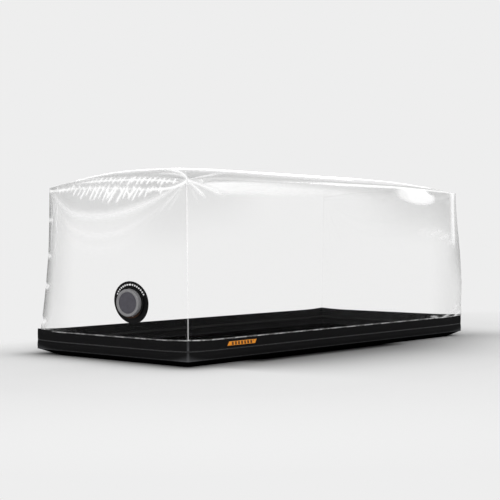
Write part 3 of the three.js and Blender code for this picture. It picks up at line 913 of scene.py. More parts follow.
# shorter ones across them
FRONT_CRIMPS += crimp_lines(4, 17, 0.40, 1.94, hem_line, 0.050, radians(-48), 0.010, 0.4, 0.012)
REAR_CRIMPS = crimp_lines(8, 22, 0.3, 1.85, 0.035, 0.11, radians(50), 0.014)
SWAGS = [(1.15, 0.365, 0.038, 0.95), (1.1, 0.545, 0.026, 0.5, 1.1), (1.1, 0.675, 0.04, 0.18, 1.2)]
NEAR_RAYS = [(44, 0.55, 0.009, 0.5), (54, 0.45, 0.009, 0.35)]
FAR_RAYS = [(57, 0.65, 0.03, 0.5, 0.3), (66, 0.8, 0.02, 0.8), (79, 0.7, 0.012, 0.8)]


def end_folds(u, d, crimps, strength):
    """(how far the film stands out, painted highlight, painted grey) for an end panel's folds."""
    far = 2 * HALF_WIDTH - u
    hanging = sum(swag(u, d, *row) for row in SWAGS)
    fans = sum(ray(u, d, *row) for row in NEAR_RAYS) + sum(ray(far, d, *row) for row in FAR_RAYS)
    short = strokes(u, d, crimps)
    hem = hump(d - hem_line(u) - 0.012, 0.010)
    hem *= 1 - 0.7 * eased(u, 0.25, 0.6) + 0.6 * eased(u, 1.5, 1.9)
    teeth = strokes(u, d, SEAM_TEETH)
    teeth += 0.55 * hump(d - 0.030, 0.008) * eased(u, 0.06, 0.2) * faded(u, 1.3, 1.8)
    # each kind's height in metres, and then its share of white, a painted highlight
    stand = 0.007 * hanging + 0.006 * short + 0.005 * fans + 0.003 * teeth
    milk_and_highlight = 0.27 * hanging + 1.0 * short + 0.35 * fans + 0.9 * hem + teeth
    # painted grey above the main swag, by the near corner and by the far edge
    above = faded(d - swag_line(u, *SWAGS[0][:2])[1], -0.12, 0.1)
    by_corner = faded(u, 0.2, 0.9) * faded(d, 0.3, 0.8)
    by_far = faded(far, 0.1, 0.7) * faded(d, 0.9, 1.3)
    shade = 0.12 * above + 0.04 * faded(d, 0.2, 0.7) + 0.05 * (by_corner + by_far)
    shade *= 1 - np.clip(2.2 * milk_and_highlight, 0, 1)
    return strength * stand, strength * milk_and_highlight, strength * shade


print("crimps", len(FRONT_CRIMPS), len(REAR_CRIMPS), "teeth", len(SEAM_TEETH))

# %% [markdown]
# Both panels come from one function. It raises the folds along the panel's own normals, and
# leaves its edges flat, so that the panel keeps to the wrap's seam.


# %% Panels at the ends
def end_point(e, t, toward):
    """A point on an end panel. toward is -1 for the front and 1 for the rear."""
    run, reach, z = wall_point(END, e, t)
    return settled(np.stack([toward * reach, run, z], axis=-1))


def end_panel(toward, crimps, strength):
    """(points, u, milk, shade) of a panel as a grid, with columns to the right from outside."""
    height = 1 - (1 - np.linspace(0, 1, 110)) ** 1.7
    height = np.unique(np.concatenate([height, [LAP / WALL_HEIGHT, FOOT_ROW]]))
    e, t = np.meshgrid(np.linspace(-1, 1, 301) * toward, height)
    points = end_point(e, t, toward)
    u, d = (e + 1) * HALF_WIDTH, (1 - t) * WALL_HEIGHT
    stand, milk_and_highlight, shade = end_folds(u, d, crimps, strength)
    wave = 0.6 * np.sin(2 * pi * u / 0.29 + 1) + 0.4 * np.sin(2 * pi * u / 0.093)
    puckers, weld_line = foot_folds(t * WALL_HEIGHT, wave, 0.03)
    stand += puckers
    milk_and_highlight += weld_line
    from_seam = np.minimum(HALF_WIDTH - abs(e) * HALF_WIDTH, d)
    stand *= eased(from_seam, 0.004, 0.03)
    points = points + normals_of(points) * stand[..., None]
    return points, u, milk_and_highlight, shade


PANEL_CUT = (2 * HALF_WIDTH, WALL_HEIGHT)
print("panels cut from", PANEL_CUT)

# %% [markdown]
# The front panel has the round hole for the fan port, hidden behind the collar. A boolean could
# cut it, but would leave slivers in so thin a sheet. Here the faces inside it are left out, and
# the points next to it are drawn onto its circle. The far edge is the slack corner's seam, where
# the film folds back on itself: it gets painted grey shade, and a painted white glint at each pinch.

# %% The front panel
PORT_HOLE = 0.150
HOLE_INSIDE, HOLE_OUTSIDE = PORT_HOLE - 0.012, PORT_HOLE + 0.004
front, front_u, milk_and_highlight, shade = end_panel(-1, FRONT_CRIMPS, 1.0)
# faces inside the hole go, and the points next to it are drawn onto its circle
offset = front - PORT
spoke = offset - (offset @ PORT_AXIS)[..., None] * PORT_AXIS
away = np.linalg.norm(spoke, axis=-1)
rim = ((away > HOLE_INSIDE) & (away < HOLE_OUTSIDE))[..., None]
front = np.where(rim, front + spoke * (PORT_HOLE / away - 1)[..., None], front)
faces = grid_faces(*away.shape)
kept = away.ravel()[faces].min(axis=1) > HOLE_INSIDE

from_far = 2 * HALF_WIDTH - front_u
z = front[..., 2]
low = faded(z, 0.28, 0.42)
# painted grey shade on the facets along the slack far seam
shade += (0.12 * hump(from_far - 0.04, 0.10) + 0.4 * hump(from_far, 0.014)) * (1 - low)
shade += 0.08 * faded(from_far, 0.1, 0.65) * faded(z, 1.3, 1.7)
# painted white glints at each pinch, low on the seam, and on thin wisps higher up
milk_and_highlight += 90 * seam_pinch(z + 0.014, from_far, 0.07)
milk_and_highlight += 0.5 * low * hump(from_far - 0.05 - 0.02 * np.sin(60 * z), 0.025)
wisp = hump(from_far - 0.085 - 0.02 * np.sin(9 * z), 0.012) + hump(from_far - 0.19, 0.012)
milk_and_highlight += 0.5 * wisp * eased(z, 0.9, 1.2) * faded(z, 1.45, 1.6)
end_front = film_piece("end_front", front, faces[kept], milk_and_highlight, shade)
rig.replaces(end_front, "film_front")
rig.slot(end_front, "clear_film")
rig.sheet(end_front, flat=PANEL_CUT, held="stretched", rests_on=["upper_band_front"])

# %% [markdown]
# The rear panel is seen through two layers of film, if at all. It has the same folds, but only
# faint ones, so that they do not clutter the view.

# %% The rear panel
rear, _, milk_and_highlight, shade = end_panel(1, REAR_CRIMPS, 0.04)
end_rear = film_piece("end_rear", rear, grid_faces(*rear.shape[:2]), milk_and_highlight, shade)
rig.replaces(end_rear, "film_rear")
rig.slot(end_rear, "clear_film")
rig.sheet(end_rear, flat=PANEL_CUT, held="stretched", rests_on=["upper_band_rear"])

# %% [markdown]
# The wrap is welded to each end panel along a strip where the two films lie double. The weld is
# milky and slightly raised, with a clear margin. It could share the film's finish, but a weld is
# no mirror and has a pressed grain. So it is a white skin that shows only where the strip's own
# layer is milky.


# %% Welded film
def weld_finish():
    """Pressed film: clear at its edges, with an uneven milky line down its middle."""
    look = Finish("seam_tape")
    patchy = look.noise(9.0, 3.0)
    grain = look.noise(260.0, 1.0)
    line = look.layer("milk_and_highlight") * (0.75 + 0.35 * patchy)
    white = look.mixed(patchy, grey(0.95), grey(0.98))
    pressed = look.skin(white, 0.22 + 0.2 * patchy, 0.5, grain, 0.0006, 0.6)
    clear = look.node("ShaderNodeBsdfTransparent")
    return look.done(look.crossed((0.01 + line).clamped(), clear, pressed))


SEAM_TAPE = weld_finish()
print("made", SEAM_TAPE.name)

# %% [markdown]
# Each end has one strip: up one corner, across the roof and down the other corner, half of its
# width on the wrap and half on the panel. Three strips would leave gaps where they meet. The white
# line is strongest on the far half of the roof, plainer down the near corner, and almost gone at
# the rear end.

# %% Weld strips
WELD_RAISE = 0.0014
WELD_THICK = 0.0010
WELD_STEPS = 361
SEAM_RUN = 2 * WALL_HEIGHT + 2 * HALF_WIDTH


def weld_points(toward):
    """Points on the film under the strip, for s along the seam, from 0 at the near foot through 1
    and 2 at the top corners to 3, and a across it, from -1 on the wrap to 1 on the panel."""
    s, a = np.meshgrid(np.linspace(0, 3, WELD_STEPS), np.linspace(-1, 1, 9))
    up, across, fall = np.clip(s, 0, 1), np.clip(s - 1, 0, 1), np.clip(s - 2, 0, 1)
    inset = abs(a) * SEAM_MARGIN
    girth = (up + fall) * WALL_HEIGHT + across * ROOF_GIRTH
    on_wrap = wrap_point(toward * (1 - inset / HALF_LENGTH), girth)
    room = 1 - inset / HALF_WIDTH
    e = np.clip(across * 2 - 1, -room, room)
    t = np.minimum(up - fall, 1 - inset / WALL_HEIGHT)
    points = np.where((a <= 0)[..., None], on_wrap, end_point(e, t, toward))
    return (points, a) if toward < 0 else (points[:, ::-1], a[:, ::-1])


for name, toward, nodes, strength in [
    ("weld_front", -1, ["seam_front_near", "seam_front_far", "seam_front_roof"], 1.0),
    ("weld_rear", 1, ["seam_rear_near", "seam_rear_far", "seam_rear_roof"], 0.1),
]:
    points, a = weld_points(toward)
    raised = WELD_RAISE + 0.0006 * hump(abs(a) - 1, 0.25)
    points = points + normals_of(points) * raised[..., None]
    s = np.broadcast_to(np.linspace(0, 3, WELD_STEPS)[::-toward], a.shape)
    roof_line = 0.3 + 0.7 * eased(s, 1.45, 1.65)
    near_line = 0.45 + 0.4 * eased(s, 0.25, 0.6)
    bright = np.where(abs(s - 1.5) < 0.5, roof_line, np.where(s < 1, near_line, 0.35))
    bright = bright * strength
    layers = {"milk_and_highlight": hump(a, 0.22) * bright}
    weld = make_piece(name, points, grid_faces(*a.shape), SEAM_TAPE, layers, weld=5e-5)
    thicken(weld, WELD_THICK)
    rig.replaces(weld, *nodes)
    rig.slot(weld, "seam_tape")
    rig.sheet(weld, flat=(2 * SEAM_MARGIN, SEAM_RUN), held="stretched", rests_on=["canopy_wrap"])

# %% [markdown]
# The tub's wall is two bands of black vinyl with a zip between them. Each goes round in one loop,
# so its shape is a small section carried along a rectangle with round corners. A bevelled curve
# would carry it as well, but here the height and the swelling change on the way: near the corners
# the bands run a little higher, and between them they are slightly slack.


# %% Loops round the tub
class Loop(NamedTuple):
    """A path round the tub: places and outward directions, and lengths."""

    place: np.ndarray
    out: np.ndarray
    at: np.ndarray  # distance travelled
    from_corner: np.ndarray
    total: float


def side_sizes(half_x, half_y, k):
    """(half length, distance from the middle) of side k, which is the near one for 0."""
    return (half_x, half_y) if k % 2 == 0 else (half_y, half_x)


def quarter_turned(places, k):
    """Places drawn as if on the near side, turned by k quarter turns to the left."""
    turn = k * pi / 2
    return places @ np.array([[cos(turn), sin(turn)], [-sin(turn), cos(turn)]])


def tub_loop(radius, step):
    """Straight runs and quarter circles, anticlockwise from above, in steps of about step."""
    place, out = [], []
    for k in range(4):
        half_run, reach = side_sizes(HALF_LENGTH, HALF_WIDTH, k)
        count = int((2 * half_run - 2 * radius) / step)
        run = np.linspace(-half_run + radius, half_run - radius, count)
        straight = np.stack([run, np.full(count, -reach)], axis=1)
        angle = np.linspace(-pi / 2, 0, 12)[1:-1]
        centre = np.array([half_run - radius, radius - reach])
        bend = centre + radius * np.stack([np.cos(angle), np.sin(angle)], axis=1)
        place.append(quarter_turned(np.concatenate([straight, bend]), k))
        facing = np.concatenate([np.full(count, -pi / 2), angle]) + k * pi / 2
        out.append(np.stack([np.cos(facing), np.sin(facing)], axis=1))
    place, out = np.concatenate(place), np.concatenate(out)
    steps = np.linalg.norm(np.roll(place, -1, axis=0) - place, axis=1)
    away = np.maximum(HALF_LENGTH - abs(place[:, 0]), HALF_WIDTH - abs(place[:, 1]))
    return Loop(place, out, np.cumsum(steps) - steps, away, steps.sum())


def uneven(loop, seed, lengths):
    """A wavy line round the loop, from about -1 to 1: the mean of sines of about these lengths,
    each of which fits into the loop a whole number of times."""
    chance = np.random.default_rng(seed)
    wave = np.zeros_like(loop.at)
    for length in lengths:
        turns = round(loop.total / length)
        wave += np.sin(2 * pi * turns * loop.at / loop.total + chance.uniform(0, 6))
    return wave / len(lengths)


def carried(loop, section):
    """A section of (out, height) arrays, one number or one for each place, carried round."""
    rows = []
    for out, height in section:
        flat = loop.place + loop.out * np.broadcast_to(out, loop.at.shape)[:, None]
        rows.append(np.column_stack([flat, np.broadcast_to(height, loop.at.shape)]))
    return np.stack(rows)


ring = tub_loop(0.016, 0.012)
print("loop round the tub:", round(ring.total, 3), "m in", len(ring.at), "steps")

# %% [markdown]
# Black vinyl is a dark, slightly glossy plastic skin over a woven base. Its shine is low and
# broken by a fine grain, and it is a little paler along some edges and corners: a painted
# highlight. Noise gives the grain, but the painted highlight follows the piece, so it is a layer.
# The floor sheet is the same material, but duller and darker, which partly paints in the shade
# under its curl.


# %% Black vinyl
def vinyl_finish(name, tone, rough, grain_size, shine):
    """Black vinyl of the given tone, cloudy by a soft noise, and paler where its layer of painted
    highlight is.
    """
    look = Finish(name)
    grain = look.noise(grain_size)
    cloth = look.noise(6.0, 4.0, (1, 1, 3))
    painted_sheen = look.layer("painted_sheen")
    colour = look.mixed((0.35 * cloth).clamped(), (tone, tone, tone * 1.06), grey(tone * 2.2))
    # the pale colour is a painted highlight
    sheened = look.mixed(painted_sheen.clamped(), colour, (0.075, 0.076, 0.08))
    rough = rough + 0.14 * cloth - 0.08 * painted_sheen
    return look.done(look.skin(sheened, rough, shine, grain + 2.5 * cloth, 0.0007, 0.5))


BLACK_VINYL = vinyl_finish("black_vinyl", 0.0064, 0.45, 420.0, 0.015)
# the floor sheet's darker tone partly paints in the shade under its curl
FLOOR_VINYL = vinyl_finish("floor_vinyl", 0.0010, 0.75, 160.0, 0.005)
print("made", BLACK_VINYL.name, FLOOR_VINYL.name)

# %% [markdown]
# The lower band swells out a little between its two welds. Its bottom edge is a round weld bead
# that joins it to the floor sheet, and its top is turned over beside the zip. A flat strip would
# lack the beads, and they are what catches the light, so they are in the section.

# %% Sections of the bands
SEAM_Z = round(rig.box("lower_band_near")[0].z, 3)
ZIP_Z = 0.138
CHANNEL = 0.009  # half height of the gap in which the zip shows
VINYL = 0.002
lift_zip = corner_lift(ZIP_LIFT, ring.from_corner)
lift_top = corner_lift(TOP_LIFT, ring.from_corner)
slack = uneven(ring, 21, [2.3, 1.1, 0.62, 0.37])
SIDES = ["near", "far", "front", "rear"]
OUTER_ROWS, INNER_ROWS = 15, 6


def band_section(low, high, swell, bead_low, bead_high):
    """A closed section: up the outer face over its beads and its swelling, and down the inner."""
    section = []
    for share in np.linspace(0, 1, OUTER_ROWS):
        bead = bead_low * hump(share * 0.08, 0.0045) + bead_high * hump((1 - share) * 0.08, 0.0045)
        out = swell * sin(pi * share) + bead
        section.append((out, low + share * (high - low)))
    for share in np.linspace(1, 0, INNER_ROWS):
        section.append((swell * sin(pi * share) - VINYL, low + share * (high - low)))
    return section


def band(name, low, high, swell, bead_low, bead_high, painted_sheen, flare, nodes):
    """One band. Its two edges are made paler by the given pair, a painted highlight on the weld
    beads, and flare is how far the painted glow at each corner spreads along its lower edge."""
    points = carried(ring, band_section(low, high, swell, bead_low, bead_high))
    share = np.linspace(0, 1, OUTER_ROWS)[:, None]
    # pale edges: a painted highlight on the beads, uneven along them
    edges = painted_sheen[0] * hump(share, 0.05) + painted_sheen[1] * hump(1 - share, 0.05)
    sheened = np.zeros(points.shape[:2])
    outer = sheened[:OUTER_ROWS]
    outer += edges * (0.65 + 0.35 * uneven(ring, 4, [0.21, 0.083, 0.047]))
    # a painted highlight down each rounded corner
    outer += 0.55 * hump(ring.from_corner, 0.012)
    # and a painted glow spreading from each corner along the lower edge
    outer += 0.75 * (1 - share) ** 2 * hump(ring.from_corner, flare * (1 - share) ** 2 + 0.01)
    faces = grid_faces(*points.shape[:2], ring=True, tube=True)
    piece = make_piece(name, points, faces, BLACK_VINYL, {"painted_sheen": sheened}, crease=50)
    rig.replaces(piece, *nodes)
    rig.slot(piece, "black_vinyl")
    tall = float(np.mean(high - low))
    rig.sheet(piece, flat=(tall, ring.total), held="stretched", rests_on=["tub_floor"])


print("zip at", ZIP_Z, "over a weld at", SEAM_Z)

# %% [markdown]
# The lower band is paler along its bottom weld, and most at the corners: a painted highlight on
# the bead, and a painted glow down each rounded corner. The upper band is flatter, with only a
# faint painted highlight where the film is welded onto it.

# %% Lower and upper band
band(
    "lower_band",
    low=SEAM_Z,
    high=ZIP_Z - CHANNEL + lift_zip,
    swell=0.0035 + 0.0015 * slack,
    bead_low=0.003,
    bead_high=0.001,
    painted_sheen=(0.65, 0.0),
    flare=0.20,
    nodes=[f"lower_band_{side}" for side in SIDES],
)
band(
    "upper_band",
    low=ZIP_Z + CHANNEL + lift_zip,
    high=BAND_TOP + lift_top,
    swell=0.0015 + 0.001 * slack,
    bead_low=0.001,
    bead_high=0.0,
    painted_sheen=(0.0, 0.3),
    flare=0.0,
    nodes=[f"upper_band_{side}" for side in SIDES],
)

# %% [markdown]
# A coil zip is a row of small plastic teeth on a tape. One tooth is a short bevelled block, and
# the chain is that block repeated all round the tub by adding its points to each place. Instances
# of one block would be lighter, but a joined mesh needs nothing more doing to it.

# %% Zip teeth
TOOTH_PITCH = 0.0075
TOOTH_LENGTH, TOOTH_DEPTH, TOOTH_HEIGHT = 0.0062, 0.0022, 0.0042  # the last two from its middle
TAPE_HALF = 0.012


def zip_finish():
    """Dark nylon, with a fine woven roughness: the coil a little paler and shinier than the vinyl, and
    the tape near black, partly its own colour and partly painted shade in the zip's channel.
    """
    look = Finish("zip")
    weave = look.noise(700.0, 1.0)
    tape = look.layer("tape")
    # the tape's near black partly paints in the shade of the zip's channel
    colour = look.mixed(tape, (0.036, 0.036, 0.038), (0.0012, 0.0012, 0.0014))
    return look.done(look.skin(colour, 0.35 + 0.3 * tape, 0.3, weave, 0.0004, 0.5))


def tooth_faces(count):
    """Faces of all teeth. One has three bands of eight sides, and its two ends are closed."""
    j = np.arange(8)
    sides = [
        np.stack([k * 8 + j, (k + 1) * 8 + j, (k + 1) * 8 + (j + 1) % 8, k * 8 + (j + 1) % 8], 1)
        for k in range(3)
    ]
    caps = np.array([[0, 1, 2, 3], [0, 3, 4, 7], [4, 5, 6, 7]])
    faces = np.concatenate([*sides, caps, 24 + caps[:, ::-1]])
    return (faces[None] + 32 * np.arange(count)[:, None, None]).reshape(-1, 4)


def tooth_points():
    """Points of all teeth: a ring of eight corners at four places along each tooth."""
    count = int(ring.total / TOOTH_PITCH)
    at = np.arange(count) * ring.total / count
    rows = [*ring.place.T, *ring.out.T, lift_zip]
    rows = [np.interp(at, ring.at, numbers, period=ring.total) for numbers in rows]
    place, out = np.stack(rows[:2], axis=1), np.stack(rows[2:4], axis=1)
    out /= np.linalg.norm(out, axis=1, keepdims=True)
    ahead = np.stack([-out[:, 1], out[:, 0]], axis=1)
    height = ZIP_Z + rows[4]
    angle = np.arange(8) * pi / 4 + pi / 8
    along = np.repeat([-0.5, -0.3, 0.3, 0.5], 8) * TOOTH_LENGTH
    size = np.repeat([0.55, 1, 1, 0.55], 8)
    depth = np.tile(np.cos(angle), 4) * size * TOOTH_DEPTH - 0.0012
    tall = np.tile(np.sin(angle), 4) * size * TOOTH_HEIGHT
    flat = place[:, None] + ahead[:, None] * along[:, None] + out[:, None] * depth[:, None]
    points = np.concatenate([flat, (height[:, None] + tall)[..., None]], axis=-1)
    return points.reshape(-1, 3)


ZIP_LOOK = zip_finish()
teeth = tooth_points()
on_teeth = {"tape": np.zeros(len(teeth))}
zip_coil = make_piece("zip_coil", teeth, tooth_faces(len(teeth) // 32), ZIP_LOOK, on_teeth, 60)

# %% [markdown]
# The teeth are sewn on a woven tape that runs behind both bands. The two make one zip: the tape
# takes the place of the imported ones, and says that the row of teeth comes with it.

# %% Zip tape
outside, inside = -VINYL - 0.0003, -VINYL - 0.0015
tape_section = [
    (outside, ZIP_Z - TAPE_HALF + lift_zip),
    (outside, ZIP_Z + TAPE_HALF + lift_zip),
    (inside, ZIP_Z + TAPE_HALF + lift_zip),
    (inside, ZIP_Z - TAPE_HALF + lift_zip),
]
tape = carried(ring, tape_section)
tape_faces = grid_faces(*tape.shape[:2], ring=True, tube=True)
zip_tape = make_piece("zip_tape", tape, tape_faces, ZIP_LOOK, {"tape": np.ones(tape.shape[:2])})
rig.replaces(zip_tape, *[f"zip_{side}" for side in SIDES])
for piece in (zip_tape, zip_coil):
    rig.slot(piece, "zip")
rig.sheet(zip_tape, flat=(2 * TAPE_HALF, ring.total), held="stretched", with_pieces=[zip_coil])

# %% [markdown]
# The floor sheet lies flat and curls up to the bottom weld. Its corners leave the ground well
# inside the sheet's own corners. A bevelled box would keep one radius all the way, so the sheet is
# made of rings instead: rectangles with round corners whose radius shrinks as the sheet climbs. It
# ends in a line down the middle of the floor.

# %% Rings with round corners
CURL = 0.05
CORNER_AT_SEAM = 0.016
# the corners' radii on the ground: near rear, far rear, far front and near front
CORNERS_AT_FLOOR = np.array([0.34, 0.3, 0.42, 0.06])


def round_ring(half_x, half_y, radii, count):
    """A closed rectangle with round corners: count places at each corner, more on each side."""
    angle = np.linspace(0, pi / 2, count)
    share = np.linspace(0, 1, 4 * count + 2)[1:-1]
    sides = []
    for k in range(4):
        half_run, reach = side_sizes(half_x, half_y, k)
        before, after = radii[k - 1], radii[k]
        run = before - half_run + share * (2 * half_run - before - after)
        straight = np.stack([run, np.full(len(run), -reach)], axis=1)
        centre = np.array([half_run - after, after - reach])
        bend = centre + after * np.stack([np.sin(angle), -np.cos(angle)], axis=1)
        sides.append(quarter_turned(np.concatenate([straight, bend]), k))
    return np.concatenate(sides)


def level_ring(inset, radii, height):
    """A round_ring that lies inset metres inside the tub's walls, at one height."""
    flat = round_ring(HALF_LENGTH - inset, HALF_WIDTH - inset, radii, 9)
    return np.column_stack([flat, np.full(len(flat), height)])


print("ring functions ready")

# %% [markdown]
# So the sheet is a nest of such rings: ten for the curl from the weld down to the ground, and
# the rest for the part that lies flat. The curl's height falls as (1 - share)^1.6.

# %% Floor sheet
rings = []
for share in np.linspace(0, 1, 10):
    radii = CORNER_AT_SEAM + (CORNERS_AT_FLOOR - CORNER_AT_SEAM) * share**0.7
    rings.append(level_ring(CURL * share, radii, SEAM_Z * (1 - share) ** 1.6))
for share in np.linspace(0, 1, 40)[1:]:
    inset = CURL + share * (HALF_WIDTH - CURL)
    rings.append(level_ring(inset, CORNERS_AT_FLOOR * (1 - share), 0))
floor_points = np.stack(rings[::-1])
floor_faces = grid_faces(*floor_points.shape[:2], ring=True)
painted_sheen = np.zeros(floor_points.shape[:2])
# the row at the weld is a little paler: a painted highlight along the weld
painted_sheen[-1] = 0.25
sheened = {"painted_sheen": painted_sheen}
tub_floor = make_piece("tub_floor", floor_points, floor_faces, FLOOR_VINYL, sheened, weld=5e-5)
thicken(tub_floor, VINYL)
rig.replaces(tub_floor, "floor_sheet")
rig.slot(tub_floor, "black_vinyl")
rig.sheet(tub_floor, flat=(2 * HALF_WIDTH + 0.03, 2 * HALF_LENGTH + 0.03), held="laid")

# %% [markdown]
# The fan sits in a round can that stands out of the front panel. Around it a black vinyl collar is
# welded to the film, and a soft cuff grips the can. The round parts could be spun, but the port's
# axis is tilted, so they are worked out from it: each is a closed line of (radius, height off the
# film) carried round the axis.

# %% Port frame and turning
ROUND_STEPS = 96
PORT_SIDE = np.cross([0, 0, 1], PORT_AXIS)
PORT_SIDE /= np.linalg.norm(PORT_SIDE)
PORT_UP = np.cross(PORT_AXIS, PORT_SIDE)


def turned(profile):
    """A profile of (radius, height off the film), carried round the port's axis: each place is
    the port plus radius times the direction round it, plus height times the axis."""
    angle = np.arange(ROUND_STEPS) * 2 * pi / ROUND_STEPS
    around = PORT_SIDE * np.cos(angle)[:, None] + PORT_UP * np.sin(angle)[:, None]
    return np.stack([PORT + around * radius + PORT_AXIS * height for radius, height in profile])


def turned_piece(name, profile, finish, slot, node, layers=(), tube=True, weld=0.0):
    """A turned part. tube closes its profile, and a disc, which ends on the axis, needs none."""
    points = turned(profile)
    faces = grid_faces(*points.shape[:2], ring=True, tube=tube)
    piece = make_piece(name, points, faces, finish, layers, crease=35, weld=weld)
    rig.replaces(piece, node)
    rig.slot(piece, slot)


def arc_profile(radius, height, round_by, start, end, steps=6):
    """Points on an arc of radius round_by about (radius, height), from start to end in degrees."""
    angle = np.radians(np.linspace(start, end, steps))
    return [(radius + round_by * cos(a), height + round_by * sin(a)) for a in angle]


print("port frame", PORT_SIDE.round(3), PORT_UP.round(3))

# %% [markdown]
# The collar is a ring of vinyl that follows the film it is welded to. A flat ring would let the
# film poke through it, so its points are laid on the front panel. A plain arc of short pale dashes
# runs over its upper part.

# %% Port collar
COLLAR_RADIUS = 0.203
COLLAR_HOLE = 0.134
DASHES = 42  # to the whole turn


def panel_place(y, z, stand):
    """The point of the front panel behind (y, z), stand out from it. e and t are found by
    correcting a first guess a few times."""
    e, t = y / HALF_WIDTH, (z - BAND_TOP) / (EAVE_Z - BAND_TOP)
    for _ in range(8):
        run, reach, height = wall_point(END, e, t)
        e, t = e + (y - run) / HALF_WIDTH, t + (z - height) / WALL_HEIGHT
    points = settled(np.stack([-reach, run, height], axis=-1))
    points[..., 0] -= stand
    return points


def collar_finish():
    """Black vinyl. A dash is inked where a sine round the collar is above -0.3, between two radii
    and within 0.18 of a turn from the top."""
    look = Finish("collar_vinyl")
    grain = look.noise(420.0)
    cloth = look.noise(7.0, 3.0)
    turn, out = look.layer("turn"), look.layer("out")
    ink = (turn * (2 * pi * DASHES)).maths("SINE", turn * (2 * pi * DASHES)) > -0.3
    ink = ink * (turn < 0.18) * (out > 0.163) * (out < 0.1775)
    uneven_ink = ink * (0.6 + 0.6 * cloth).clamped()
    colour = look.mixed(uneven_ink, (0.0028, 0.0028, 0.0032), grey(0.75))
    return look.done(look.skin(colour, 0.4 + 0.1 * cloth, 0.1, grain + 3 * cloth, 0.0006, 0.5))


radius = np.concatenate([[COLLAR_HOLE], np.linspace(0.14, 0.196, 10), [0.2, 0.202, COLLAR_RADIUS]])
# it stands out most at its outer weld, and its edge lies down
stand = 0.0024 + 0.0012 * hump(radius - 0.193, 0.004) + 0.001 * hump(radius - 0.16, 0.012)
stand[-2:] = [0.0021, 0.0012]
angle = np.radians(np.arange(0, 360, 2))
collar_points = panel_place(
    PORT[1] - np.sin(angle) * radius[::-1, None],
    PORT[2] - np.cos(angle) * radius[::-1, None],
    stand[::-1, None] + 0.0003 * np.sin(5 * angle + 1) + 0.0002 * np.sin(11 * angle),
)
collar_layers = {
    "turn": np.broadcast_to(abs(angle / (2 * pi) - 0.5), collar_points.shape[:2]),
    "out": np.broadcast_to(radius[::-1, None], collar_points.shape[:2]),
}
collar_faces = grid_faces(*collar_points.shape[:2], ring=True)
port_ring = make_piece("port_ring", collar_points, collar_faces, collar_finish(), collar_layers)
thicken(port_ring, VINYL)
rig.replaces(port_ring, "port_collar")
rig.slot(port_ring, "black_vinyl")
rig.sheet(
    port_ring,
    flat=(2 * COLLAR_RADIUS, 2 * COLLAR_RADIUS),
    area=pi * (COLLAR_RADIUS**2 - COLLAR_HOLE**2),
    held="stretched",
    rests_on=["end_front"],
)

# %% [markdown]
# The can is a black moulded drum with shallow ribs round it where the rim's skirt ends. They show
# at its outline, where bump would not, so they are a cosine in the profile. The can's open front
# holds the filter, and the outlet at its back blows into the canopy.

# %% Fan housing
HOUSING_WALL = 0.012
OUTLET_RADIUS = 0.055
INNER_RADIUS = HOUSING_RADIUS - HOUSING_WALL
GAP = 0.0003
SKIRT = 0.040  # how far the rim's skirt reaches back over the can
SKIRT_WALL = 0.0022
RIB_PITCH, RIB_DEPTH = 0.009, 0.0012


def moulded_finish(name, tone, shine):
    """Moulded plastic: an even tone with fine spark-eroded grain and slightly cloudy gloss."""
    look = Finish(name)
    cloud = look.noise(14.0, 3.0)
    colour = look.mixed(cloud, tone, tuple(1.25 * value for value in tone))
    return look.done(look.skin(colour, 0.4 + 0.12 * cloud, shine, look.noise(300.0), 0.0004, 0.4))


can_radius = HOUSING_RADIUS - SKIRT_WALL - GAP
skirt_foot = HOUSING_FRONT - SKIRT
heights = np.linspace(skirt_foot - 4 * RIB_PITCH, skirt_foot - 0.002, 34)
waves = 0.5 + 0.5 * np.cos(2 * pi * (heights - skirt_foot) / RIB_PITCH)
ribs = list(zip(HOUSING_RADIUS - RIB_DEPTH * waves, heights))
housing_profile = [
    (OUTLET_RADIUS, -HOUSING_BACK),
    *arc_profile(HOUSING_RADIUS - 0.008, 0.008 - HOUSING_BACK, 0.008, -90, 0),
    *ribs,
    (can_radius, skirt_foot - 0.001),
    *arc_profile(can_radius - 0.002, HOUSING_FRONT - 0.002, 0.002, 0, 90, 4),
    (INNER_RADIUS, HOUSING_FRONT),
    (INNER_RADIUS, HOUSING_WALL / 2 - HOUSING_BACK),
    (OUTLET_RADIUS, HOUSING_WALL / 2 - HOUSING_BACK),
]
HOUSING_PLASTIC = moulded_finish("housing", (0.004, 0.004, 0.0043), 0.15)
turned_piece("fan_can", housing_profile, HOUSING_PLASTIC, "housing", "fan_housing")

# %% [markdown]
# The rim is a grey moulded ring with a full round lip. Its skirt reaches back over the can, and
# its inner edge turns down to hold the filter.

# %% Rim
RIM_INNER, RIM_DEPTH = 0.103, 0.008
rim_foot = HOUSING_FRONT + GAP
lip = 0.110  # the lip's inner edge, where it turns down to the foam
rim_profile = [
    (RIM_INNER, rim_foot),
    (HOUSING_RADIUS - SKIRT_WALL, rim_foot),
    (HOUSING_RADIUS - SKIRT_WALL, skirt_foot),
    (HOUSING_RADIUS, skirt_foot),
    *arc_profile(HOUSING_RADIUS - 0.008, rim_foot + RIM_DEPTH - 0.008, 0.008, 0, 90, 8),
    *arc_profile(lip + 0.004, rim_foot + RIM_DEPTH - 0.006, 0.006, 90, 160),
    (RIM_INNER, rim_foot + 0.0015),
]
RIM_PLASTIC = moulded_finish("rim", (0.165, 0.163, 0.168), 0.5)
turned_piece("rim_ring", rim_profile, RIM_PLASTIC, "rim", "filter_rim")

# %% [markdown]
# The filter is a disc of open foam, slightly crowned, and tucked in at its edge. It is dusty and
# quite matt. Its cells are far too small to model, so they are spots of bump and colour.


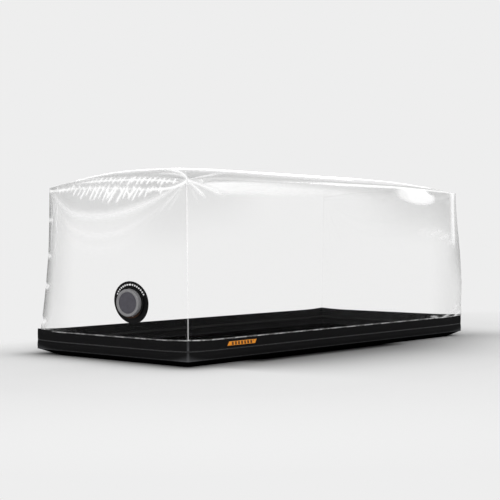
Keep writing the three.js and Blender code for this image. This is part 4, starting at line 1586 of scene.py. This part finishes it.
# %% Filter foam
def foam_finish():
    """Open-cell foam: dark purplish grey, pitted by its cells, and paler where it is dusty."""
    look = Finish("foam")
    cells = look.node("ShaderNodeTexVoronoi", values={"Vector": look.places, "Scale": 320.0})
    pits = look.signal(cells)
    dust = look.noise(22.0, 4.0)
    open_cells = (0.5 * dust + 0.9 * pits).clamped()
    colour = look.mixed(open_cells, (0.036, 0.035, 0.042), (0.090, 0.087, 0.100))
    return look.done(look.skin(colour, 0.95, 0.1, pits + 0.3 * dust, 0.0015, 0.8))


FOAM_DEPTH, FOAM_CROWN, FOAM_TUCK = 0.022, 0.004, 0.003
foam_radius = INNER_RADIUS - 0.0004
foam_back = HOUSING_FRONT - FOAM_DEPTH
r = np.linspace(1, 0, 16)
foam_top = HOUSING_FRONT - 0.0005 + FOAM_CROWN * (1 - r * r) - FOAM_TUCK * r**8
foam_profile = [(0.0, foam_back), (foam_radius, foam_back), *zip(foam_radius * r, foam_top)]
turned_piece("foam_disc", foam_profile, foam_finish(), "foam", "filter_foam", tube=False, weld=1e-5)

# %% [markdown]
# A soft cuff of the same vinyl as the tub is gathered round the can. Its lip has a brown elastic
# hem sewn round it, but the brown is drawn on its lower side only, where it is partly a painted
# glint. It is a layer on the cuff's own points and not another ring.


# %% Cuff
def cuff_finish():
    """Black vinyl, with dark brown on its lip: partly an elastic hem, and partly a painted glint."""
    look = Finish("cuff")
    binding_and_glint = look.layer("binding_and_glint")
    weave = look.noise(500.0, 1.0)
    colour = look.mixed(binding_and_glint, (0.003, 0.003, 0.0033), (0.036, 0.018, 0.011))
    return look.done(look.skin(colour, 0.45 + 0.2 * weave, 0.1, weave, 0.0005, 0.5))


CUFF_INNER, CUFF_WIDTH, CUFF_DEPTH = HOUSING_RADIUS + 0.0004, 0.020, 0.015
CUFF_FOOT = 0.003
cuff_profile = [
    (CUFF_INNER, CUFF_FOOT),
    (CUFF_INNER + CUFF_WIDTH, CUFF_FOOT),
    *arc_profile(CUFF_INNER + CUFF_WIDTH - 0.007, 0.0065, 0.007, 0, 75),
    *arc_profile(CUFF_INNER + 0.005, CUFF_DEPTH - 0.004, 0.0042, 60, 180),
]
heights = np.array([height for _, height in cuff_profile])[:, None]
# the brown lies on the lower side only, partly as a painted glint
low_side = eased(-np.sin(np.arange(ROUND_STEPS) * 2 * pi / ROUND_STEPS + 0.35), 0.15, 0.7)
on_lip = {"binding_and_glint": eased(heights, 0.0095, 0.0115) * low_side}
turned_piece("cuff_ring", cuff_profile, cuff_finish(), "black_vinyl", "port_cuff", on_lip)

# %% [markdown]
# A plain orange patch is welded to the near side's upper band, near the front. It has sloping
# ends, rounded corners and a raised border, and no lettering. Its bars are worked out in the
# shader from two layers, so they lie along the patch and stay sharp from close by.

# %% Side patch
patch_low, patch_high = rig.box("side_patch")
PATCH_LEAN = 0.022  # how far its upper edge is set back towards the rear
PATCH_GRID = (21, 121)


def patch_piece():
    """A slab over the band: u along it and v up it, thickest at a border just inside its edge."""
    half_long, half_tall = (patch_high.x - patch_low.x) / 2, (patch_high.z - patch_low.z) / 2
    v, u = np.meshgrid(*(np.linspace(-1, 1, count) for count in PATCH_GRID), indexing="ij")
    corner = np.clip((abs(u) * half_long - half_long + 0.006) / 0.006, 0, 1)
    z = v * (half_tall - 0.002 * corner**2)
    x = u * (half_long - PATCH_LEAN / 2) + PATCH_LEAN / 2 * v
    edge = np.minimum(half_long - abs(u) * half_long, half_tall - abs(v) * half_tall)
    raised = 0.0005 * hump(edge - 0.0035, 0.0015)
    out = 0.0035 + raised - 0.0012 * faded(edge, 0, 0.001)
    middle = (patch_low + patch_high) / 2
    points = np.stack([middle.x + x, -HALF_WIDTH - out, middle.z + z], axis=-1)
    layers = {"edge": faded(edge, 0.002, 0.005), "along": (u + 1) / 2, "upward": (v + 1) / 2}
    return points, layers


def patch_finish():
    """Orange printed vinyl: plain dark slanted bars in its middle, a paler border, cloudy ink."""
    look = Finish("patch")
    ink = look.noise(30.0, 3.0)
    edge, along, upward = look.layer("edge"), look.layer("along"), look.layer("upward")
    slanted = along * 9 + upward * 0.6
    bars = slanted.maths("FRACT", slanted) > 0.4
    field = (along > 0.1) * (along < 0.9) * (upward > 0.12) * (upward < 0.88)
    orange = look.mixed(ink, (0.68, 0.21, 0.008), (0.88, 0.33, 0.02))
    printed = look.mixed(bars * field * 0.95, orange, (0.06, 0.022, 0.006))
    bordered = look.mixed((edge * 0.35).clamped(), printed, (0.62, 0.30, 0.09))
    grain = look.noise(380.0)
    return look.done(look.skin(bordered, 0.38 + 0.15 * ink, 0.2, grain + edge, 0.0004, 0.5))


points, layers = patch_piece()
side_label = make_piece("side_label", points, grid_faces(*PATCH_GRID), patch_finish(), layers)
thicken(side_label, 0.001)
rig.replaces(side_label, "side_patch")
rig.slot(side_label, "patch")
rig.sheet(side_label, flat=(0.43, 0.04), held="laid", rests_on=["upper_band"])

# %% [markdown]
# The studio's floor is pale and melts into a pale world. A curved backdrop would do this for one
# side only. So the finish mixes a matt floor, darkened by a painted shadow close to the tub, with
# the world's own brightness far away and behind.

# %% Studio floor's finish
PALE = 0.855  # the background's brightness
FLOOR_TONE = 0.71
FLOOR_Z = -0.0002


def floor_finish():
    """Matt floor with a painted shadow near the tub, and the world's own brightness from 5 metres away."""
    look = Finish("studio_floor")
    away = look.layer("away") + look.layer("behind")
    # the close layer is the painted shadow
    tone = look.mixed(look.layer("close").clamped(), grey(FLOOR_TONE), grey(0))
    matt = look.node("ShaderNodeBsdfDiffuse", values={"Color": tone})
    pale = look.node("ShaderNodeEmission", values={"Color": grey(PALE), "Strength": 1.0})
    share = ((away - 2.0) / 3.0).clamped()
    return look.done(look.crossed(share, matt, pale))


print("floor tone", FLOOR_TONE, "under a world of", PALE)

# %% [markdown]
# The floor's grid is a nest of rings round the tub, so that each point knows how far it is from
# the walls. Light from all round casts almost no shadow, and black vinyl on a pale floor needs
# one. So a shadow is painted as a darker tone near the tub: narrow at the front, wider along the
# near side, and a dark painted contact shadow right at its foot.

# %% Studio floor
steps = np.concatenate([[-1.0, -0.3], np.linspace(0, 2, 21), np.linspace(2.25, 7, 20), [12, 30]])
steps = steps[::-1]
rings = [level_ring(-step, [max(step, 0) + 0.04] * 4, FLOOR_Z) for step in steps]
rings.append(np.tile([0, 0, FLOOR_Z], (len(rings[0]), 1)))
away = np.repeat(np.maximum([*steps, 0], 0)[:, None], len(rings[0]), axis=1)
floor_points = np.stack(rings)
floor_x, floor_y = floor_points[..., 0], floor_points[..., 1]
# the painted shadow: narrow at the front, wider along the near side
near = eased(-floor_y, 0, 0.5)
middle = np.clip((floor_x + 2.3) / 2.4, 0, 1) * near
rearward = eased(floor_x, 0.3, 2.6)
reach = (0.2 + 0.85 * (1 - np.exp(-middle / 0.2))) * (1 - 0.25 * rearward)
depth = 0.7 + 0.08 * middle - 0.38 * rearward
close = depth * np.exp(-((away / reach) ** (1.2 + 0.6 * eased(middle, 0, 0.5))))
close *= 1 - 0.7 * eased(floor_y, -0.5, 1.0) * (0.25 + 0.75 * eased(floor_x, -2.4, -1.4))
# painted contact shadow right at the tub's foot
pressed = np.exp(-((away / 0.19) ** 4)) * near
pressed *= eased(floor_x, -2.3, -1.4) * faded(floor_x, 0.7, 1.7)
close = np.maximum(close, pressed)
layers = {"away": away, "close": close, "behind": 4.5 * eased(floor_y, 0.8, 3.0)}
floor_faces = grid_faces(*away.shape, ring=True)
floor_mesh = make_mesh("studio_floor", floor_points, floor_faces, floor_finish(), layers)
studio_floor = bpy.data.objects.new("studio_floor", floor_mesh)
bpy.context.collection.objects.link(studio_floor)
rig.stage(studio_floor)
print("floor of", len(floor_mesh.polygons), "faces")

# %% [markdown]
# Film shows itself by what it reflects. So for reflections the world is white along the horizon
# and greyer overhead, while the soft light itself comes evenly from all round, and the camera sees
# one plain pale tone. Real walls and a ceiling could do the same, but they would show through the
# film and shade the floor.

# %% World
FILL = 0.84
HORIZON, CEILING = 0.93, 0.40
CEILING_STARTS, CEILING_FULL = sin(radians(13)), sin(radians(20))


def set_world():
    """Even light for matt surfaces, the pale background for the camera, and for reflections a
    white horizon that turns to a grey ceiling between 13 and 20 degrees up."""
    look = Finish("studio", bpy.data.worlds.new("studio"))
    path = look.node("ShaderNodeLightPath")
    mirrored = look.signal(path, "Is Glossy Ray").larger(look.signal(path, "Is Transmission Ray"))
    split = look.node("ShaderNodeSeparateXYZ", values={0: look.tree.nodes[0].outputs["Generated"]})
    height = look.signal(split, "Z")
    overhead = ((height - CEILING_STARTS) / (CEILING_FULL - CEILING_STARTS)).clamped()
    room = look.mixed(overhead, grey(HORIZON), grey(CEILING))
    fill = look.node("ShaderNodeBackground", values={"Color": grey(FILL)})
    pale = look.node("ShaderNodeBackground", values={"Color": grey(PALE)})
    around = look.node("ShaderNodeBackground", values={"Color": room})
    unseen = look.crossed(mirrored, fill, around)
    both = look.crossed(look.signal(path, "Is Camera Ray"), unseen, pale)
    bpy.context.scene.world = look.done(both, "ShaderNodeOutputWorld")


set_world()
print("world", bpy.context.scene.world.name)

# %% [markdown]
# A few soft lamps do the rest. The key lamp stands on the camera's side, and the ones behind and
# high up are small in the film's mirror: they give the streaks on the roof and the near wall.
# Bigger ones would wash the film out.


# %% Lamps
def soft_lamp(name, place, aim, size, power):
    """A rectangular lamp of the given size in metres, turned to face aim."""
    data = bpy.data.lights.new(name, "AREA")
    data.shape, data.energy = "RECTANGLE", power
    data.size, data.size_y = size
    lamp = bpy.data.objects.new(name, data)
    lamp.location = place
    lamp.rotation_euler = (Vector(aim) - Vector(place)).to_track_quat("-Z", "Y").to_euler()
    lamp.visible_camera = False
    bpy.context.collection.objects.link(lamp)


soft_lamp("lamp_top", (0, 0, 6.5), (0, 0, 0), (5.0, 2.5), 30)
soft_lamp("lamp_key", (-11.0, -9.0, 5.0), (0, 0, 1), (6.0, 4.0), 640)
soft_lamp("lamp_back", (8.7, 7.1, 3.6), (-1.0, -1.0, 1.9), (3.9, 1.0), 34)
soft_lamp("lamp_back_near", (10.8, 4.0, 3.4), (1.0, -1.0, 1.9), (4.2, 0.3), 6)
soft_lamp("lamp_back_far", (5.2, 10.2, 3.3), (-2.0, 0, 1.9), (6.0, 0.3), 26)
soft_lamp("lamp_rear_high", (9.5, -1.0, 8.6), (0, -1.0, 1.6), (2.4, 2.4), 150)
soft_lamp("lamp_far_high", (-8.5, 8.0, 6.4), (-2.4, 0, 1.4), (3.5, 2.6), 60)
soft_lamp("lamp_near_high", (9.0, -9.0, 5.6), (0, -1.0, 1.6), (4.0, 1.8), 70)
bpy.context.scene.view_settings.view_transform = "Standard"
bpy.context.scene.cycles.transparent_max_bounces = 32
print("lamps", len(bpy.data.lights))

# %% [markdown]
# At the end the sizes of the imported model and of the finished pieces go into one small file, so
# that the two can be compared.

# %% Sizes, and the end
with open("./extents.json", "w") as file:
    boxes = {"cad": cad_box, "visual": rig.bounds()}
    json.dump({name: [list(corner) for corner in box] for name, box in boxes.items()}, file)
print(open("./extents.json").read())
